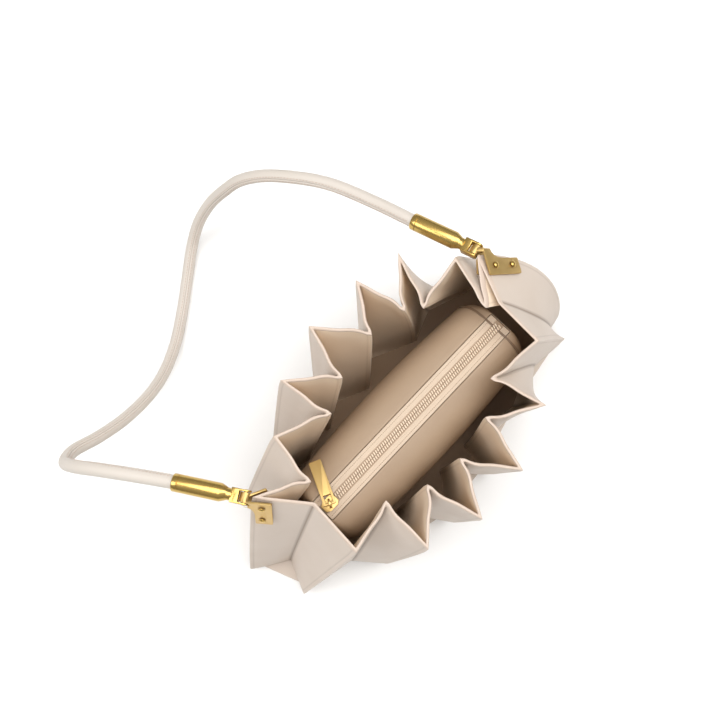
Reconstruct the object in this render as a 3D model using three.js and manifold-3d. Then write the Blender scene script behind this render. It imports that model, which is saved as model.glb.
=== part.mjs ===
// Pleated shoulder bag: a pleated leather wall round a zipped pouch, and a rolled strap on hinged metal ends.
// Millimetres, +Z up. X runs along the bag, -Y is its front, and the origin is on the floor under the zip.
import * as THREE from "three";
import { mergeVertices } from "three/addons/utils/BufferGeometryUtils.js";
import Module from "manifold-3d";

const wasm = await Module();
wasm.setup();

// Driving dimensions
const GAP = 0.3;
const HEIGHT = 160;
const LEATHER = 1.5;
const LINING = 1.0;
const LINING_GAP = 0.6;
const BASE_THICKNESS = 3;
const BASE_INSET = 7;
const WALL_FOOT = BASE_THICKNESS + GAP;
const WALL_HEIGHTS = [WALL_FOOT, 12, 52, 84, 106, 123, 137, 149, HEIGHT];

// How a fold leans between its foot and the rim, and how its lower corner is rounded
const RIDGE_LEAN = [1.2, 1.2];
const VALLEY_LEAN = [1.35, 1.35];
const CORNER_RADIUS = 16;

// A wall panel runs straight from its ridge, then pinches in against its neighbour at the valley
const PANEL_STEPS = [0.45, 0.78];
const PINCH = 0.6;
const PINCH_HALF_GAP = 2.5;
const PINCH_ANGLES = [0.5, 0.95];
const WIDEST_SPREAD = 2;
const LONGEST_MITRE = 1.6;
const LEAST_SLANT = 0.05;

// One row for each outward fold and the inward fold after it, from the left end along the front and back.
// ridge and valley are plan places at the rim; foot and hollow are the same folds' places at the floor.
// The right end's fold is bent over at its top, so it and some of the valleys have leans of their own,
// given for X and Y. tuck is a place where the base is cut in between a foot and the next one.
const FOLDS = [
  { ridge: [-121, 30], valley: [-95, -1], foot: [-171, -1], hollow: [-141, -16] },
  { ridge: [-96, -43], valley: [-59, -34], foot: [-154, -43], hollow: [-106, -50], valley_lean: [2.2, 2.2],
    tuck: [-112, -46] },
  { ridge: [-60, -75], valley: [-31, -46], foot: [-88, -72], hollow: [-50, -50] },
  { ridge: [-20, -86], valley: [-2, -49], foot: [-24, -86], hollow: [0, -52] },
  { ridge: [23, -82], valley: [31, -41], foot: [28, -81], hollow: [30, -51] },
  { ridge: [66, -62], valley: [53, -24], foot: [88, -60], hollow: [114, -41], valley_lean: [2.2, 2.2] },
  { ridge: [95, -27], valley: [95, 10], foot: [156, -44], hollow: [143, -29], valley_lean: [2.2, 3] },
  { ridge: [108, 44], valley: [86, 15], foot: [160, -27], hollow: [140, -5], ridge_lean: [4, 2],
    valley_lean: [3.8, 3.8] },
  { ridge: [95, 54], valley: [54, 45], foot: [156, 46], hollow: [123, 46] },
  { ridge: [68, 84], valley: [43, 53], foot: [88, 62], hollow: [62, 45] },
  { ridge: [33, 90], valley: [14, 57], foot: [20, 66], hollow: [4, 43] },
  { ridge: [-13, 89], valley: [-22, 49], foot: [-36, 62], hollow: [-44, 41] },
  { ridge: [-53, 75], valley: [-45, 36], foot: [-88, 60], hollow: [-76, 34] },
  { ridge: [-83, 50], valley: [-87, 12], foot: [-136, 44], hollow: [-138, 10] },
];

// The zipped pouch lies a little askew in the bag
const POUCH_PLACE = [-1, -4, 0];
const POUCH_TURN = 0.045;
const POUCH_WALL = 1.4;
const POUCH_BOW = 3.5;
const POUCH_BOW_STEPS = [-0.5, 0, 0.5];
const POUCH_CORNER_STEPS = 4;
const LEAST_CORNER = 1;
const SLOT_HALF_WIDTH = 9.6;
// One row for each level of the pouch, from the floor to the edge of the zip slot
const POUCH_LEVELS = [
  { z: WALL_FOOT, half_width: 33, half_length: 99, corner: 15 },
  { z: 60, half_width: 33.5, half_length: 99, corner: 15 },
  { z: 103, half_width: 32.5, half_length: 98.5, corner: 15 },
  { z: 117, half_width: 29.5, half_length: 97.5, corner: 14 },
  { z: 126, half_width: 25, half_length: 96.5, corner: 12 },
  { z: 131.5, half_width: 19, half_length: 95.5, corner: 8 },
  { z: 134.5, half_width: SLOT_HALF_WIDTH, half_length: 94, corner: LEAST_CORNER },
];

// Zip
const TAPE_CLEAR = 0.4;
const TAPE = { half_length: 93.4, inner: 3.4, outer: SLOT_HALF_WIDTH - TAPE_CLEAR, bottom: 132.9 };
const TAPE_THICKNESS = 1;
const CHAIN = { start: -80.2, end: 92, half_width: 3.1, bottom: 132.5, side: 134.2, crown: 135 };
const SLIDER = { start: -92.5, end: -80.5, half_width: 4.5, plate: 1.4, lower: 130.2, upper: 135.4 };
const SLIDER_NOSE = { half_width: 2.6, mouth_taper: 3, tail_taper: 2 };
const SLIDER_POST = { start: -91.5, end: -87.5, half_width: 2.8 };
const BAIL = { x: -86.5, rise: 3.1, inner: 2, outer: 3.4, thickness: 1.6 };
const PULL = { length: 33, width: 9, thickness: 1.6, eye: 0.9, loop: 5.6, loop_width: 5.4, corner: 1 };
const PULL_TURN = THREE.MathUtils.degToRad(64);
const PULL_DROOP = THREE.MathUtils.degToRad(16.5);

// Metal ends of the strap
const PLATE = { thickness: 1.5, clear: 1.1, top: 1.2, ear: 8, curve: 9, waist: 22, bottom: 36 };
const PLATE_EDGES = { ear: -6.5, outer: 0.8, inner: 13, corner: 1.5 };
const RIVET = { head: 3, rise: 1.6, shank: 1.3, shank_depth: 1.4, hole: 1.65 };
const RIVET_PLACES = { across: 5.8, downs: [9.5, 28.5] };
const BARREL = { radius: 3.4, length: 7 };
const WEB = { root: 1.6, radius: 2.4, length: 4 };
const PIN = { radius: 1.5, hole: 1.8, length: 12.6 };
const FORK = { prong: 2.2, radius: 3.75, slot: 5.2, end: 12 };
const FERRULE = { radius: 6.4, neck: 4.6, neck_from: 10, neck_to: 13, shoulder: 17, lip: 0.5, socket: 8 };
const ROUND_STEPS = 14;
const RIVET_STEPS = 10;
const DOME_STEPS = 3;
const CUT_LENGTH = 30;
const CURVE_STEPS = { coil: 6, bail: 10, pull: 3, plate: 5, fork: 8 };
// One row for each end: the fold that it is riveted to, the way round to that fold's front panel,
// its hinge pin and the mouth of its ferrule
const STRAP_ENDS = [
  { side: "left", fold: 0, front: 1, pin: [-126.3, 34.8, 156.5], mouth: [-155, 77, 151] },
  { side: "right", fold: 7, front: -1, pin: [111, 49.5, 156.5], mouth: [98, 98, 142] },
];

// The rolled strap falls behind the bag: off the left end, down to the floor and up to the right end
const STRAP_RADIUS = 5;
const STRAP_SIDES = 10;
const STRAP_STEPS = 36;
const STRAP_ROUTE = [
  [-155, 77, 151], [-172, 100, 147], [-188, 121, 139], [-201, 138, 126], [-206, 148, 111], [-199, 154, 95],
  [-182, 153, 79], [-160, 154, 59], [-134, 160, 36], [-112, 170, 18], [-88, 185, 8], [-62, 205, 5.3],
  [-38, 225, 5.3], [-20, 238, 12], [-5, 243, 29], [10, 240, 55], [23, 231, 82], [34, 223, 99],
  [47, 209, 113], [62, 188, 123], [76, 164, 130], [89, 129, 136], [98, 98, 142],
];

// Finishes
function finish(color, roughness, metalness = 0) {
  return new THREE.MeshStandardMaterial({ color, roughness, metalness });
}

const CREAM_LEATHER = finish(0xe3d6c8, 0.55);
const TAN_LINING = finish(0xb89d83, 0.6);
const CREAM_TAPE = finish(0xd9c5ae, 0.85);
const GOLD_BRASS = finish(0xc9a045, 0.22, 1);

const bag = new THREE.Group();
const pouchGroup = new THREE.Group();
pouchGroup.position.set(...POUCH_PLACE);
pouchGroup.rotation.z = POUCH_TURN;
bag.add(pouchGroup);

function addPiece(parent, name, geometry, material) {
  const mesh = new THREE.Mesh(geometry, material);
  mesh.name = name;
  parent.add(mesh);
  return mesh;
}

// Solids that are joined or cut
function toSolid(geometry) {
  const bare = geometry.clone();
  bare.deleteAttribute("normal");
  bare.deleteAttribute("uv");
  const merged = mergeVertices(bare, 1e-3);
  return new wasm.Manifold(
    new wasm.Mesh({
      numProp: 3,
      vertProperties: new Float32Array(merged.attributes.position.array),
      triVerts: new Uint32Array(merged.index.array),
    }),
  );
}

function toGeometry(solid) {
  const mesh = solid.getMesh();
  const geometry = new THREE.BufferGeometry();
  geometry.setAttribute("position", new THREE.BufferAttribute(mesh.vertProperties, 3));
  geometry.setIndex(new THREE.BufferAttribute(mesh.triVerts, 1));
  geometry.computeVertexNormals();
  return geometry;
}

// A closed wall between matching outer and inner rings of points, ordered from the lowest ring up
function wallGeometry(outerRings, innerRings) {
  const count = outerRings[0].length;
  const rings = [...outerRings, ...innerRings];
  const innerStart = outerRings.length;
  const top = outerRings.length - 1;
  const indices = [];
  const strip = (lower, upper, facingOut) => {
    for (let i = 0; i < count; i++) {
      const j = (i + 1) % count;
      const [a, b, c, d] = [lower * count + i, lower * count + j, upper * count + j, upper * count + i];
      indices.push(...(facingOut ? [a, b, c, a, c, d] : [a, c, b, a, d, c]));
    }
  };
  for (let level = 0; level < top; level++) {
    strip(level, level + 1, true);
    strip(innerStart + level, innerStart + level + 1, false);
  }
  strip(top, innerStart + top, true);
  strip(0, innerStart, false);
  const geometry = new THREE.BufferGeometry();
  geometry.setFromPoints(rings.flat());
  geometry.setIndex(indices);
  geometry.computeVertexNormals();
  return geometry;
}

// Pleated wall: the middle line of the wall at each height, then its leather and lining on either side
const wrap = (index) => (index + FOLDS.length) % FOLDS.length;

function leanPoint(foot, rim, z, leans) {
  const along = (axis) => THREE.MathUtils.lerp(foot[axis], rim[axis], (z / HEIGHT) ** leans[axis]);
  return new THREE.Vector2(along(0), along(1));
}

function valleyAt(index, z) {
  const fold = FOLDS[wrap(index)];
  return leanPoint(fold.hollow, fold.valley, z, fold.valley_lean ?? VALLEY_LEAN);
}

function ridgeAt(index, z) {
  const fold = FOLDS[wrap(index)];
  const place = leanPoint(fold.foot, fold.ridge, z, fold.ridge_lean ?? RIDGE_LEAN);
  const below = Math.max(0, CORNER_RADIUS - z);
  const inset = CORNER_RADIUS - Math.sqrt(CORNER_RADIUS ** 2 - below ** 2);
  const inward = valleyAt(index, z).add(valleyAt(index - 1, z)).multiplyScalar(0.5).sub(place).normalize();
  return place.addScaledVector(inward, inset);
}

// A point of a panel, pinched towards the line that halves its valley where the valley is narrow
function panelPoint(ridge, valley, otherRidge, share) {
  const point = ridge.clone().lerp(valley, share);
  const arm = ridge.clone().sub(valley).normalize();
  const halving = arm.clone().add(otherRidge.clone().sub(valley).normalize()).normalize();
  const halfAngle = Math.acos(THREE.MathUtils.clamp(arm.dot(halving), -1, 1));
  const narrow = 1 - THREE.MathUtils.smoothstep(halfAngle, ...PINCH_ANGLES);
  const pinch = 1 - (1 - PINCH) * narrow * THREE.MathUtils.smoothstep(share, ...PANEL_STEPS);
  const offset = point.clone().sub(valley);
  const along = offset.dot(halving);
  const side = offset.addScaledVector(halving, -along);
  const width = side.length();
  side.setLength(Math.max(width * pinch, Math.min(PINCH_HALF_GAP, width * WIDEST_SPREAD)));
  return valley.clone().addScaledVector(halving, along).add(side);
}

function foldRing(z) {
  return FOLDS.flatMap((_, index) => {
    const ridge = ridgeAt(index, z);
    const valley = valleyAt(index, z);
    const nextRidge = ridgeAt(index + 1, z);
    const inwards = PANEL_STEPS.map((share) => panelPoint(ridge, valley, nextRidge, share));
    const outwards = PANEL_STEPS.map((share) => panelPoint(nextRidge, valley, ridge, share));
    return [ridge, ...inwards, valley, ...outwards.reverse()];
  });
}

// The ring moved outwards by a distance, with full mitres in the inner corners and short ones outside
function offsetRing(ring, distance, z) {
  return ring.map((point, i) => {
    const before = ring[(i + ring.length - 1) % ring.length];
    const after = ring[(i + 1) % ring.length];
    const [first, second] = [point.clone().sub(before).normalize(), after.clone().sub(point).normalize()];
    const mitre = new THREE.Vector2(first.y + second.y, -first.x - second.x).normalize();
    const slant = Math.max(LEAST_SLANT, mitre.x * first.y - mitre.y * first.x);
    const outerCorner = first.cross(second) * distance > 0;
    const stretch = outerCorner ? Math.min(LONGEST_MITRE, 1 / slant) : 1 / slant;
    const place = point.clone().addScaledVector(mitre, distance * stretch);
    return new THREE.Vector3(place.x, place.y, z);
  });
}

function foldWall(innerOffset, outerOffset) {
  const ringsAt = (offset) => WALL_HEIGHTS.map((z) => offsetRing(foldRing(z), offset, z));
  return wallGeometry(ringsAt(outerOffset), ringsAt(innerOffset));
}

function addWall() {
  addPiece(bag, "pleated_body", foldWall(LINING_GAP / 2, LINING_GAP / 2 + LEATHER), CREAM_LEATHER);
  addPiece(bag, "lining", foldWall(-LINING_GAP / 2 - LINING, -LINING_GAP / 2), TAN_LINING);
}

// Flat bottom, cut straight from foot to foot just inside the folds, and tucked in at one place
function addBase() {
  const outline = FOLDS.flatMap((fold) => {
    const foot = new THREE.Vector2(...fold.foot);
    foot.setLength(foot.length() - BASE_INSET);
    return fold.tuck ? [foot, new THREE.Vector2(...fold.tuck)] : [foot];
  });
  const shape = new THREE.Shape(outline);
  const slab = new THREE.ExtrudeGeometry(shape, { depth: BASE_THICKNESS, bevelEnabled: false });
  addPiece(bag, "base_panel", slab, CREAM_LEATHER);
}

// Pouch: rounded rectangles from the floor up to the zip slot
function pouchRing({ z, half_width, half_length, corner }, bow) {
  const [straightX, straightY] = [half_length - corner, half_width - corner];
  const arc = (sideX, sideY, from) =>
    Array.from({ length: POUCH_CORNER_STEPS + 1 }, (_, step) => {
      const angle = from + (step / POUCH_CORNER_STEPS) * (Math.PI / 2);
      const x = sideX * straightX + corner * Math.cos(angle);
      const y = sideY * straightY + corner * Math.sin(angle);
      return new THREE.Vector3(x, y, z);
    });
  const side = (sign) =>
    POUCH_BOW_STEPS.map((step) => {
      const y = sign * (half_width + bow * (1 - step ** 2));
      return new THREE.Vector3(-sign * step * straightX, y, z);
    });
  return [
    ...arc(1, 1, 0),
    ...side(1),
    ...arc(-1, 1, Math.PI / 2),
    ...arc(-1, -1, Math.PI),
    ...side(-1),
    ...arc(1, -1, Math.PI * 1.5),
  ];
}

// The inner face of the pouch: each level moved in square to the profile
function innerLevel(level, index) {
  const last = POUCH_LEVELS.length - 1;
  const below = POUCH_LEVELS[Math.max(0, index - 1)];
  const above = POUCH_LEVELS[Math.min(last, index + 1)];
  const slope = new THREE.Vector2(above.half_width - below.half_width, above.z - below.z).normalize();
  const inset = index === last ? 0 : POUCH_WALL * slope.y;
  const drop = index === last ? POUCH_WALL : -POUCH_WALL * slope.x;
  return {
    z: Math.max(WALL_FOOT, level.z - drop),
    half_width: level.half_width - inset,
    half_length: level.half_length - inset,
    corner: Math.max(LEAST_CORNER, level.corner - inset),
  };
}

function addPouch() {
  const bowAt = (index) => (index === POUCH_LEVELS.length - 1 ? 0 : POUCH_BOW);
  const outer = POUCH_LEVELS.map((level, index) => pouchRing(level, bowAt(index)));
  const inner = POUCH_LEVELS.map((level, index) => pouchRing(innerLevel(level, index), bowAt(index)));
  addPiece(pouchGroup, "pouch", wallGeometry(outer, inner), TAN_LINING);
}

// Zip tapes and the coil between them
function addTapes() {
  const width = TAPE.outer - TAPE.inner;
  for (const [name, sign] of [["zip_tape_far", 1], ["zip_tape_near", -1]]) {
    const strip = new THREE.BoxGeometry(2 * TAPE.half_length, width, TAPE_THICKNESS);
    const tape = addPiece(pouchGroup, name, strip, CREAM_TAPE);
    tape.position.set(0, sign * (TAPE.inner + width / 2), TAPE.bottom + TAPE_THICKNESS / 2);
  }
}

function addChain() {
  const arch = 2 * CHAIN.crown - CHAIN.side;
  const profile = new THREE.Shape();
  profile.moveTo(-CHAIN.half_width, CHAIN.bottom);
  profile.lineTo(CHAIN.half_width, CHAIN.bottom);
  profile.lineTo(CHAIN.half_width, CHAIN.side);
  profile.quadraticCurveTo(CHAIN.half_width / 2, arch, 0, CHAIN.side);
  profile.quadraticCurveTo(-CHAIN.half_width / 2, arch, -CHAIN.half_width, CHAIN.side);
  const depth = CHAIN.end - CHAIN.start;
  const coil = new THREE.ExtrudeGeometry(profile, {
    depth,
    bevelEnabled: false,
    curveSegments: CURVE_STEPS.coil,
  });
  const along = new THREE.Matrix4().makeBasis(
    new THREE.Vector3(0, 1, 0),
    new THREE.Vector3(0, 0, 1),
    new THREE.Vector3(1, 0, 0),
  );
  coil.applyMatrix4(along.setPosition(CHAIN.start, 0, 0));
  addPiece(pouchGroup, "zip_chain", coil, CREAM_TAPE);
}

// Slider: two nosed plates on a post, with an arched bail that faces along the pull
function sliderPlate(z) {
  const { start, end, half_width, plate } = SLIDER;
  const { half_width: nose, mouth_taper, tail_taper } = SLIDER_NOSE;
  const shape = new THREE.Shape();
  shape.moveTo(start, -nose);
  shape.lineTo(start + mouth_taper, -half_width);
  shape.lineTo(end - tail_taper, -half_width);
  shape.lineTo(end, -nose);
  shape.lineTo(end, nose);
  shape.lineTo(end - tail_taper, half_width);
  shape.lineTo(start + mouth_taper, half_width);
  shape.lineTo(start, nose);
  return new THREE.ExtrudeGeometry(shape, { depth: plate, bevelEnabled: false }).translate(0, 0, z);
}

const HINGE_Z = SLIDER.upper + SLIDER.plate + BAIL.rise;

// Turns a flat outline into one that stands upright along the pull, with its origin on the pull's hinge
function uprightOnHinge(geometry) {
  const upright = new THREE.Matrix4().makeRotationX(Math.PI / 2);
  return geometry.applyMatrix4(upright).rotateZ(PULL_TURN).translate(BAIL.x, 0, HINGE_Z);
}

function addSlider() {
  const foot = -BAIL.rise - SLIDER.plate / 2;
  const arch = new THREE.Shape();
  arch.absarc(0, 0, BAIL.outer, 0, Math.PI);
  arch.lineTo(-BAIL.outer, foot);
  arch.lineTo(-BAIL.inner, foot);
  arch.absarc(0, 0, BAIL.inner, Math.PI, 0, true);
  arch.lineTo(BAIL.inner, foot);
  arch.lineTo(BAIL.outer, foot);
  const bail = new THREE.ExtrudeGeometry(arch, {
    depth: BAIL.thickness,
    bevelEnabled: false,
    curveSegments: CURVE_STEPS.bail,
  });
  uprightOnHinge(bail.translate(0, 0, -BAIL.thickness / 2));
  const { start, end, half_width } = SLIDER_POST;
  const rise = SLIDER.upper - SLIDER.lower;
  const post = new THREE.BoxGeometry(end - start, 2 * half_width, rise);
  post.translate((start + end) / 2, 0, SLIDER.lower + SLIDER.plate / 2 + rise / 2);
  const slider = [sliderPlate(SLIDER.lower), sliderPlate(SLIDER.upper), post, bail]
    .map(toSolid)
    .reduce((joined, piece) => joined.add(piece));
  addPiece(pouchGroup, "zip_slider", toGeometry(slider), GOLD_BRASS);
}

function roundedRectangle(shape, left, right, half, corner) {
  shape.moveTo(left + corner, -half);
  shape.lineTo(right - corner, -half);
  shape.absarc(right - corner, -half + corner, corner, -Math.PI / 2, 0);
  shape.absarc(right - corner, half - corner, corner, 0, Math.PI / 2);
  shape.lineTo(left + corner, half);
  shape.absarc(left + corner, half - corner, corner, Math.PI / 2, Math.PI);
  shape.absarc(left + corner, -half + corner, corner, Math.PI, Math.PI * 1.5);
  return shape;
}

function addPull() {
  const tab = roundedRectangle(new THREE.Shape(), -PULL.eye, PULL.length, PULL.width / 2, PULL.corner);
  const loopEnd = PULL.eye + PULL.loop;
  tab.holes.push(roundedRectangle(new THREE.Path(), PULL.eye, loopEnd, PULL.loop_width / 2, PULL.corner / 2));
  const pull = new THREE.ExtrudeGeometry(tab, {
    depth: PULL.thickness,
    bevelEnabled: false,
    curveSegments: CURVE_STEPS.pull,
  });
  pull.translate(0, 0, -PULL.thickness / 2).rotateY(PULL_DROOP).rotateZ(PULL_TURN);
  pull.translate(BAIL.x, 0, HINGE_Z);
  addPiece(pouchGroup, "zip_pull", pull, GOLD_BRASS);
}

// Strap plates: two arms riveted to the panels of an end fold, joined by a hinge barrel past its ridge
const HINGE_HALF_WIDTH = BARREL.length / 2 + GAP + FORK.prong;

function hingeFrame({ pin, mouth }) {
  const origin = new THREE.Vector3(...pin);
  const outward = new THREE.Vector3(...mouth).sub(origin);
  const length = outward.length();
  outward.normalize();
  const axis = new THREE.Vector3(0, 0, 1).cross(outward).normalize();
  const up = outward.clone().cross(axis);
  return { origin, outward, axis, up, length };
}

// A cylinder along the hinge axis, centred a distance along it
function hingeCylinder(hinge, radius, length, shift = 0) {
  const cylinder = new THREE.CylinderGeometry(radius, radius, length, ROUND_STEPS).translate(0, shift, 0);
  const frame = new THREE.Matrix4().makeBasis(hinge.outward, hinge.axis, hinge.up);
  return cylinder.applyMatrix4(frame.setPosition(hinge.origin));
}

// The height of a plate's lower end, which lies down the leaning ridge of its fold
function plateFoot(fold) {
  const half = HEIGHT - PLATE.bottom / 2;
  const shift = ridgeAt(fold, HEIGHT).distanceTo(ridgeAt(fold, half));
  return HEIGHT - (PLATE.bottom * (HEIGHT - half)) / Math.hypot(shift, HEIGHT - half);
}

// The flat that fits one panel of an end fold best: across from the ridge, down the wall, and square to both
function armFrame(fold, towards) {
  const valleyIndex = towards > 0 ? fold : fold - 1;
  const [[ridgeTop, panelTop], [ridgeLow, panelLow]] = [HEIGHT, plateFoot(fold)].map((z) => {
    const ridge = ridgeAt(fold, z);
    const across = valleyAt(valleyIndex, z).sub(ridge).setLength(PLATE_EDGES.inner);
    const panel = ridge.clone().add(across);
    return [ridge, panel].map((place) => new THREE.Vector3(place.x, place.y, z));
  });
  const across = panelTop.clone().sub(ridgeTop).add(panelLow).sub(ridgeLow).normalize();
  const lean = ridgeLow.clone().sub(ridgeTop).add(panelLow).sub(panelTop);
  const square = across.clone().cross(lean).normalize();
  const down = square.clone().cross(across);
  const middle = ridgeTop.clone().add(panelTop).add(ridgeLow).add(panelLow).multiplyScalar(0.25);
  const corner = middle.addScaledVector(across, -PLATE_EDGES.inner / 2);
  corner.addScaledVector(down, (HEIGHT - corner.z) / down.z);
  const frame = new THREE.Matrix4().makeBasis(across, down, square).setPosition(corner);
  return { frame, face: -towards };
}

const ARM_SEAT = LINING_GAP / 2 + LEATHER + PLATE.clear;

function plateArm(fold, towards) {
  const { ear, outer, inner, corner } = PLATE_EDGES;
  const shape = new THREE.Shape();
  shape.moveTo(ear, PLATE.top);
  shape.lineTo(inner - corner, PLATE.top);
  shape.quadraticCurveTo(inner, PLATE.top, inner, PLATE.top + corner);
  shape.lineTo(inner, PLATE.bottom - corner);
  shape.quadraticCurveTo(inner, PLATE.bottom, inner - corner, PLATE.bottom);
  shape.lineTo(outer + corner, PLATE.bottom);
  shape.quadraticCurveTo(outer, PLATE.bottom, outer, PLATE.bottom - corner);
  shape.lineTo(outer, PLATE.waist);
  shape.quadraticCurveTo(outer, PLATE.curve, ear, PLATE.ear);
  for (const down of RIVET_PLACES.downs) {
    const hole = new THREE.Path();
    hole.absarc(RIVET_PLACES.across, down, RIVET.hole, 0, 2 * Math.PI);
    shape.holes.push(hole);
  }
  const arm = new THREE.ExtrudeGeometry(shape, {
    depth: PLATE.thickness,
    bevelEnabled: false,
    curveSegments: CURVE_STEPS.plate,
  });
  const { frame, face } = armFrame(fold, towards);
  arm.translate(0, 0, face > 0 ? ARM_SEAT : -ARM_SEAT - PLATE.thickness);
  return arm.applyMatrix4(frame);
}

// A web from the end of an arm's ear to the barrel
function earWeb(fold, towards, hinge) {
  const { frame, face } = armFrame(fold, towards);
  const root = new THREE.BoxGeometry(WEB.root, PLATE.ear - PLATE.top, PLATE.thickness);
  const down = (PLATE.ear + PLATE.top) / 2;
  root.translate(PLATE_EDGES.ear + WEB.root / 2, down, face * (ARM_SEAT + PLATE.thickness / 2));
  const core = hingeCylinder(hinge, WEB.radius, WEB.length);
  return wasm.Manifold.hull([root.applyMatrix4(frame), core].map(toSolid));
}

function addPlate(end) {
  const hinge = hingeFrame(end);
  const prongRoom = FORK.prong + 2 * GAP;
  const prongShift = BARREL.length / 2 + prongRoom / 2;
  const cuts = [
    hingeCylinder(hinge, PIN.hole, CUT_LENGTH),
    hingeCylinder(hinge, FORK.radius + 2 * GAP, prongRoom, prongShift),
    hingeCylinder(hinge, FORK.radius + 2 * GAP, prongRoom, -prongShift),
  ];
  const barrel = hingeCylinder(hinge, BARREL.radius, BARREL.length);
  const arms = [1, -1].map((towards) => plateArm(end.fold, towards));
  const webs = [1, -1].map((towards) => earWeb(end.fold, towards, hinge));
  const joined = [...[...arms, barrel].map(toSolid), ...webs].reduce((plate, piece) => plate.add(piece));
  const plate = cuts.map(toSolid).reduce((rest, cut) => rest.subtract(cut), joined);
  addPiece(bag, `strap_plate_${end.side}`, toGeometry(plate), GOLD_BRASS);
}

// Rivets: a domed head outside the plate and a short shank in its hole
function addRivets(end) {
  const dome = Array.from({ length: DOME_STEPS + 1 }, (_, step) => {
    const angle = (step / DOME_STEPS) * (Math.PI / 2);
    return new THREE.Vector2(RIVET.head * Math.cos(angle), RIVET.rise * Math.sin(angle));
  });
  dome[DOME_STEPS].x = 0;
  const stem = [
    new THREE.Vector2(0, -RIVET.shank_depth),
    new THREE.Vector2(RIVET.shank, -RIVET.shank_depth),
    new THREE.Vector2(RIVET.shank, 0),
  ];
  for (const [face, towards] of [["front", end.front], ["back", -end.front]]) {
    const { frame, face: facing } = armFrame(end.fold, towards);
    RIVET_PLACES.downs.forEach((down, index) => {
      const rivet = new THREE.LatheGeometry([...stem, ...dome], RIVET_STEPS);
      rivet.rotateX((facing * Math.PI) / 2);
      rivet.translate(RIVET_PLACES.across, down, facing * (ARM_SEAT + PLATE.thickness + GAP));
      addPiece(bag, `rivet_${end.side}_${face}_${index + 1}`, rivet.applyMatrix4(frame), GOLD_BRASS);
    });
  }
}

// Ferrules: a fork round the barrel, a neck, a shoulder and a round sleeve with a socket for the strap
function addFerrule(end) {
  const hinge = hingeFrame(end);
  const profile = new THREE.Shape();
  profile.moveTo(0, -FORK.radius);
  profile.lineTo(FORK.end, -FORK.radius);
  profile.lineTo(FORK.end, FORK.radius);
  profile.lineTo(0, FORK.radius);
  profile.absarc(0, 0, FORK.radius, Math.PI / 2, Math.PI * 1.5);
  const eye = new THREE.Path();
  eye.absarc(0, 0, PIN.hole, 0, 2 * Math.PI);
  profile.holes.push(eye);
  const width = 2 * HINGE_HALF_WIDTH;
  const block = new THREE.ExtrudeGeometry(profile, {
    depth: width,
    bevelEnabled: false,
    curveSegments: CURVE_STEPS.fork,
  });
  const frame = new THREE.Matrix4().makeBasis(hinge.outward, hinge.up, hinge.axis.clone().negate());
  block.translate(0, 0, -width / 2).applyMatrix4(frame.setPosition(hinge.origin));
  const slotDepth = FORK.slot + 2 * FORK.radius;
  const slot = new THREE.BoxGeometry(slotDepth, CUT_LENGTH, BARREL.length + 2 * GAP);
  slot.translate(FORK.slot - slotDepth / 2, 0, 0).applyMatrix4(frame);
  const { radius, neck, neck_from, neck_to, shoulder, lip, socket } = FERRULE;
  const bore = STRAP_RADIUS + 2 * GAP;
  const [mouth, floor] = [hinge.length, hinge.length - socket];
  const outline = [
    [0, neck_from], [neck, neck_from], [neck, neck_to], [radius, shoulder], [radius, mouth - lip],
    [radius - lip, mouth], [bore, mouth], [bore, floor], [0, floor],
  ].map((pair) => new THREE.Vector2(...pair));
  const sleeve = new THREE.LatheGeometry(outline, ROUND_STEPS);
  const turned = new THREE.Matrix4().makeBasis(hinge.axis, hinge.outward, hinge.up.clone().negate());
  sleeve.applyMatrix4(turned.setPosition(hinge.origin));
  const ferrule = toSolid(block).subtract(toSolid(slot)).add(toSolid(sleeve));
  addPiece(bag, `ferrule_${end.side}`, toGeometry(ferrule), GOLD_BRASS);
  addPiece(bag, `hinge_pin_${end.side}`, hingeCylinder(hinge, PIN.radius, PIN.length), GOLD_BRASS);
}

// Strap: one round tube from socket to socket
function addStrap() {
  const route = STRAP_ROUTE.map((point) => new THREE.Vector3(...point));
  const [first, last] = STRAP_ENDS.map((end) => {
    const { outward } = hingeFrame(end);
    return new THREE.Vector3(...end.mouth).addScaledVector(outward, GAP - FERRULE.socket);
  });
  const path = new THREE.CatmullRomCurve3([first, ...route, last], false, "centripetal");
  const section = new THREE.Shape();
  section.absarc(0, 0, STRAP_RADIUS, 0, 2 * Math.PI);
  const sides = section.getSpacedPoints(STRAP_SIDES).slice(0, -1);
  const tube = new THREE.ExtrudeGeometry(new THREE.Shape(sides), {
    steps: STRAP_STEPS,
    extrudePath: path,
    bevelEnabled: false,
  });
  addPiece(bag, "strap", tube, CREAM_LEATHER);
}

addWall();
addBase();
addPouch();
addTapes();
addChain();
addSlider();
addPull();
for (const end of STRAP_ENDS) {
  addPlate(end);
  addRivets(end);
  addFerrule(end);
}
addStrap();

export default bag;
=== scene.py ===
"""Looks of a pleated leather shoulder bag: its folded wall, zipped pouch, gold fittings and rolled strap.

Everything is in metres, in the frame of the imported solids: +X runs along the bag, -Y is its front, +Z is up.
"""

import logging
import math
from collections.abc import Callable, Iterable, Sequence
from dataclasses import dataclass
from enum import Enum

import bmesh
import bpy
from mathutils import Matrix, Vector


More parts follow.
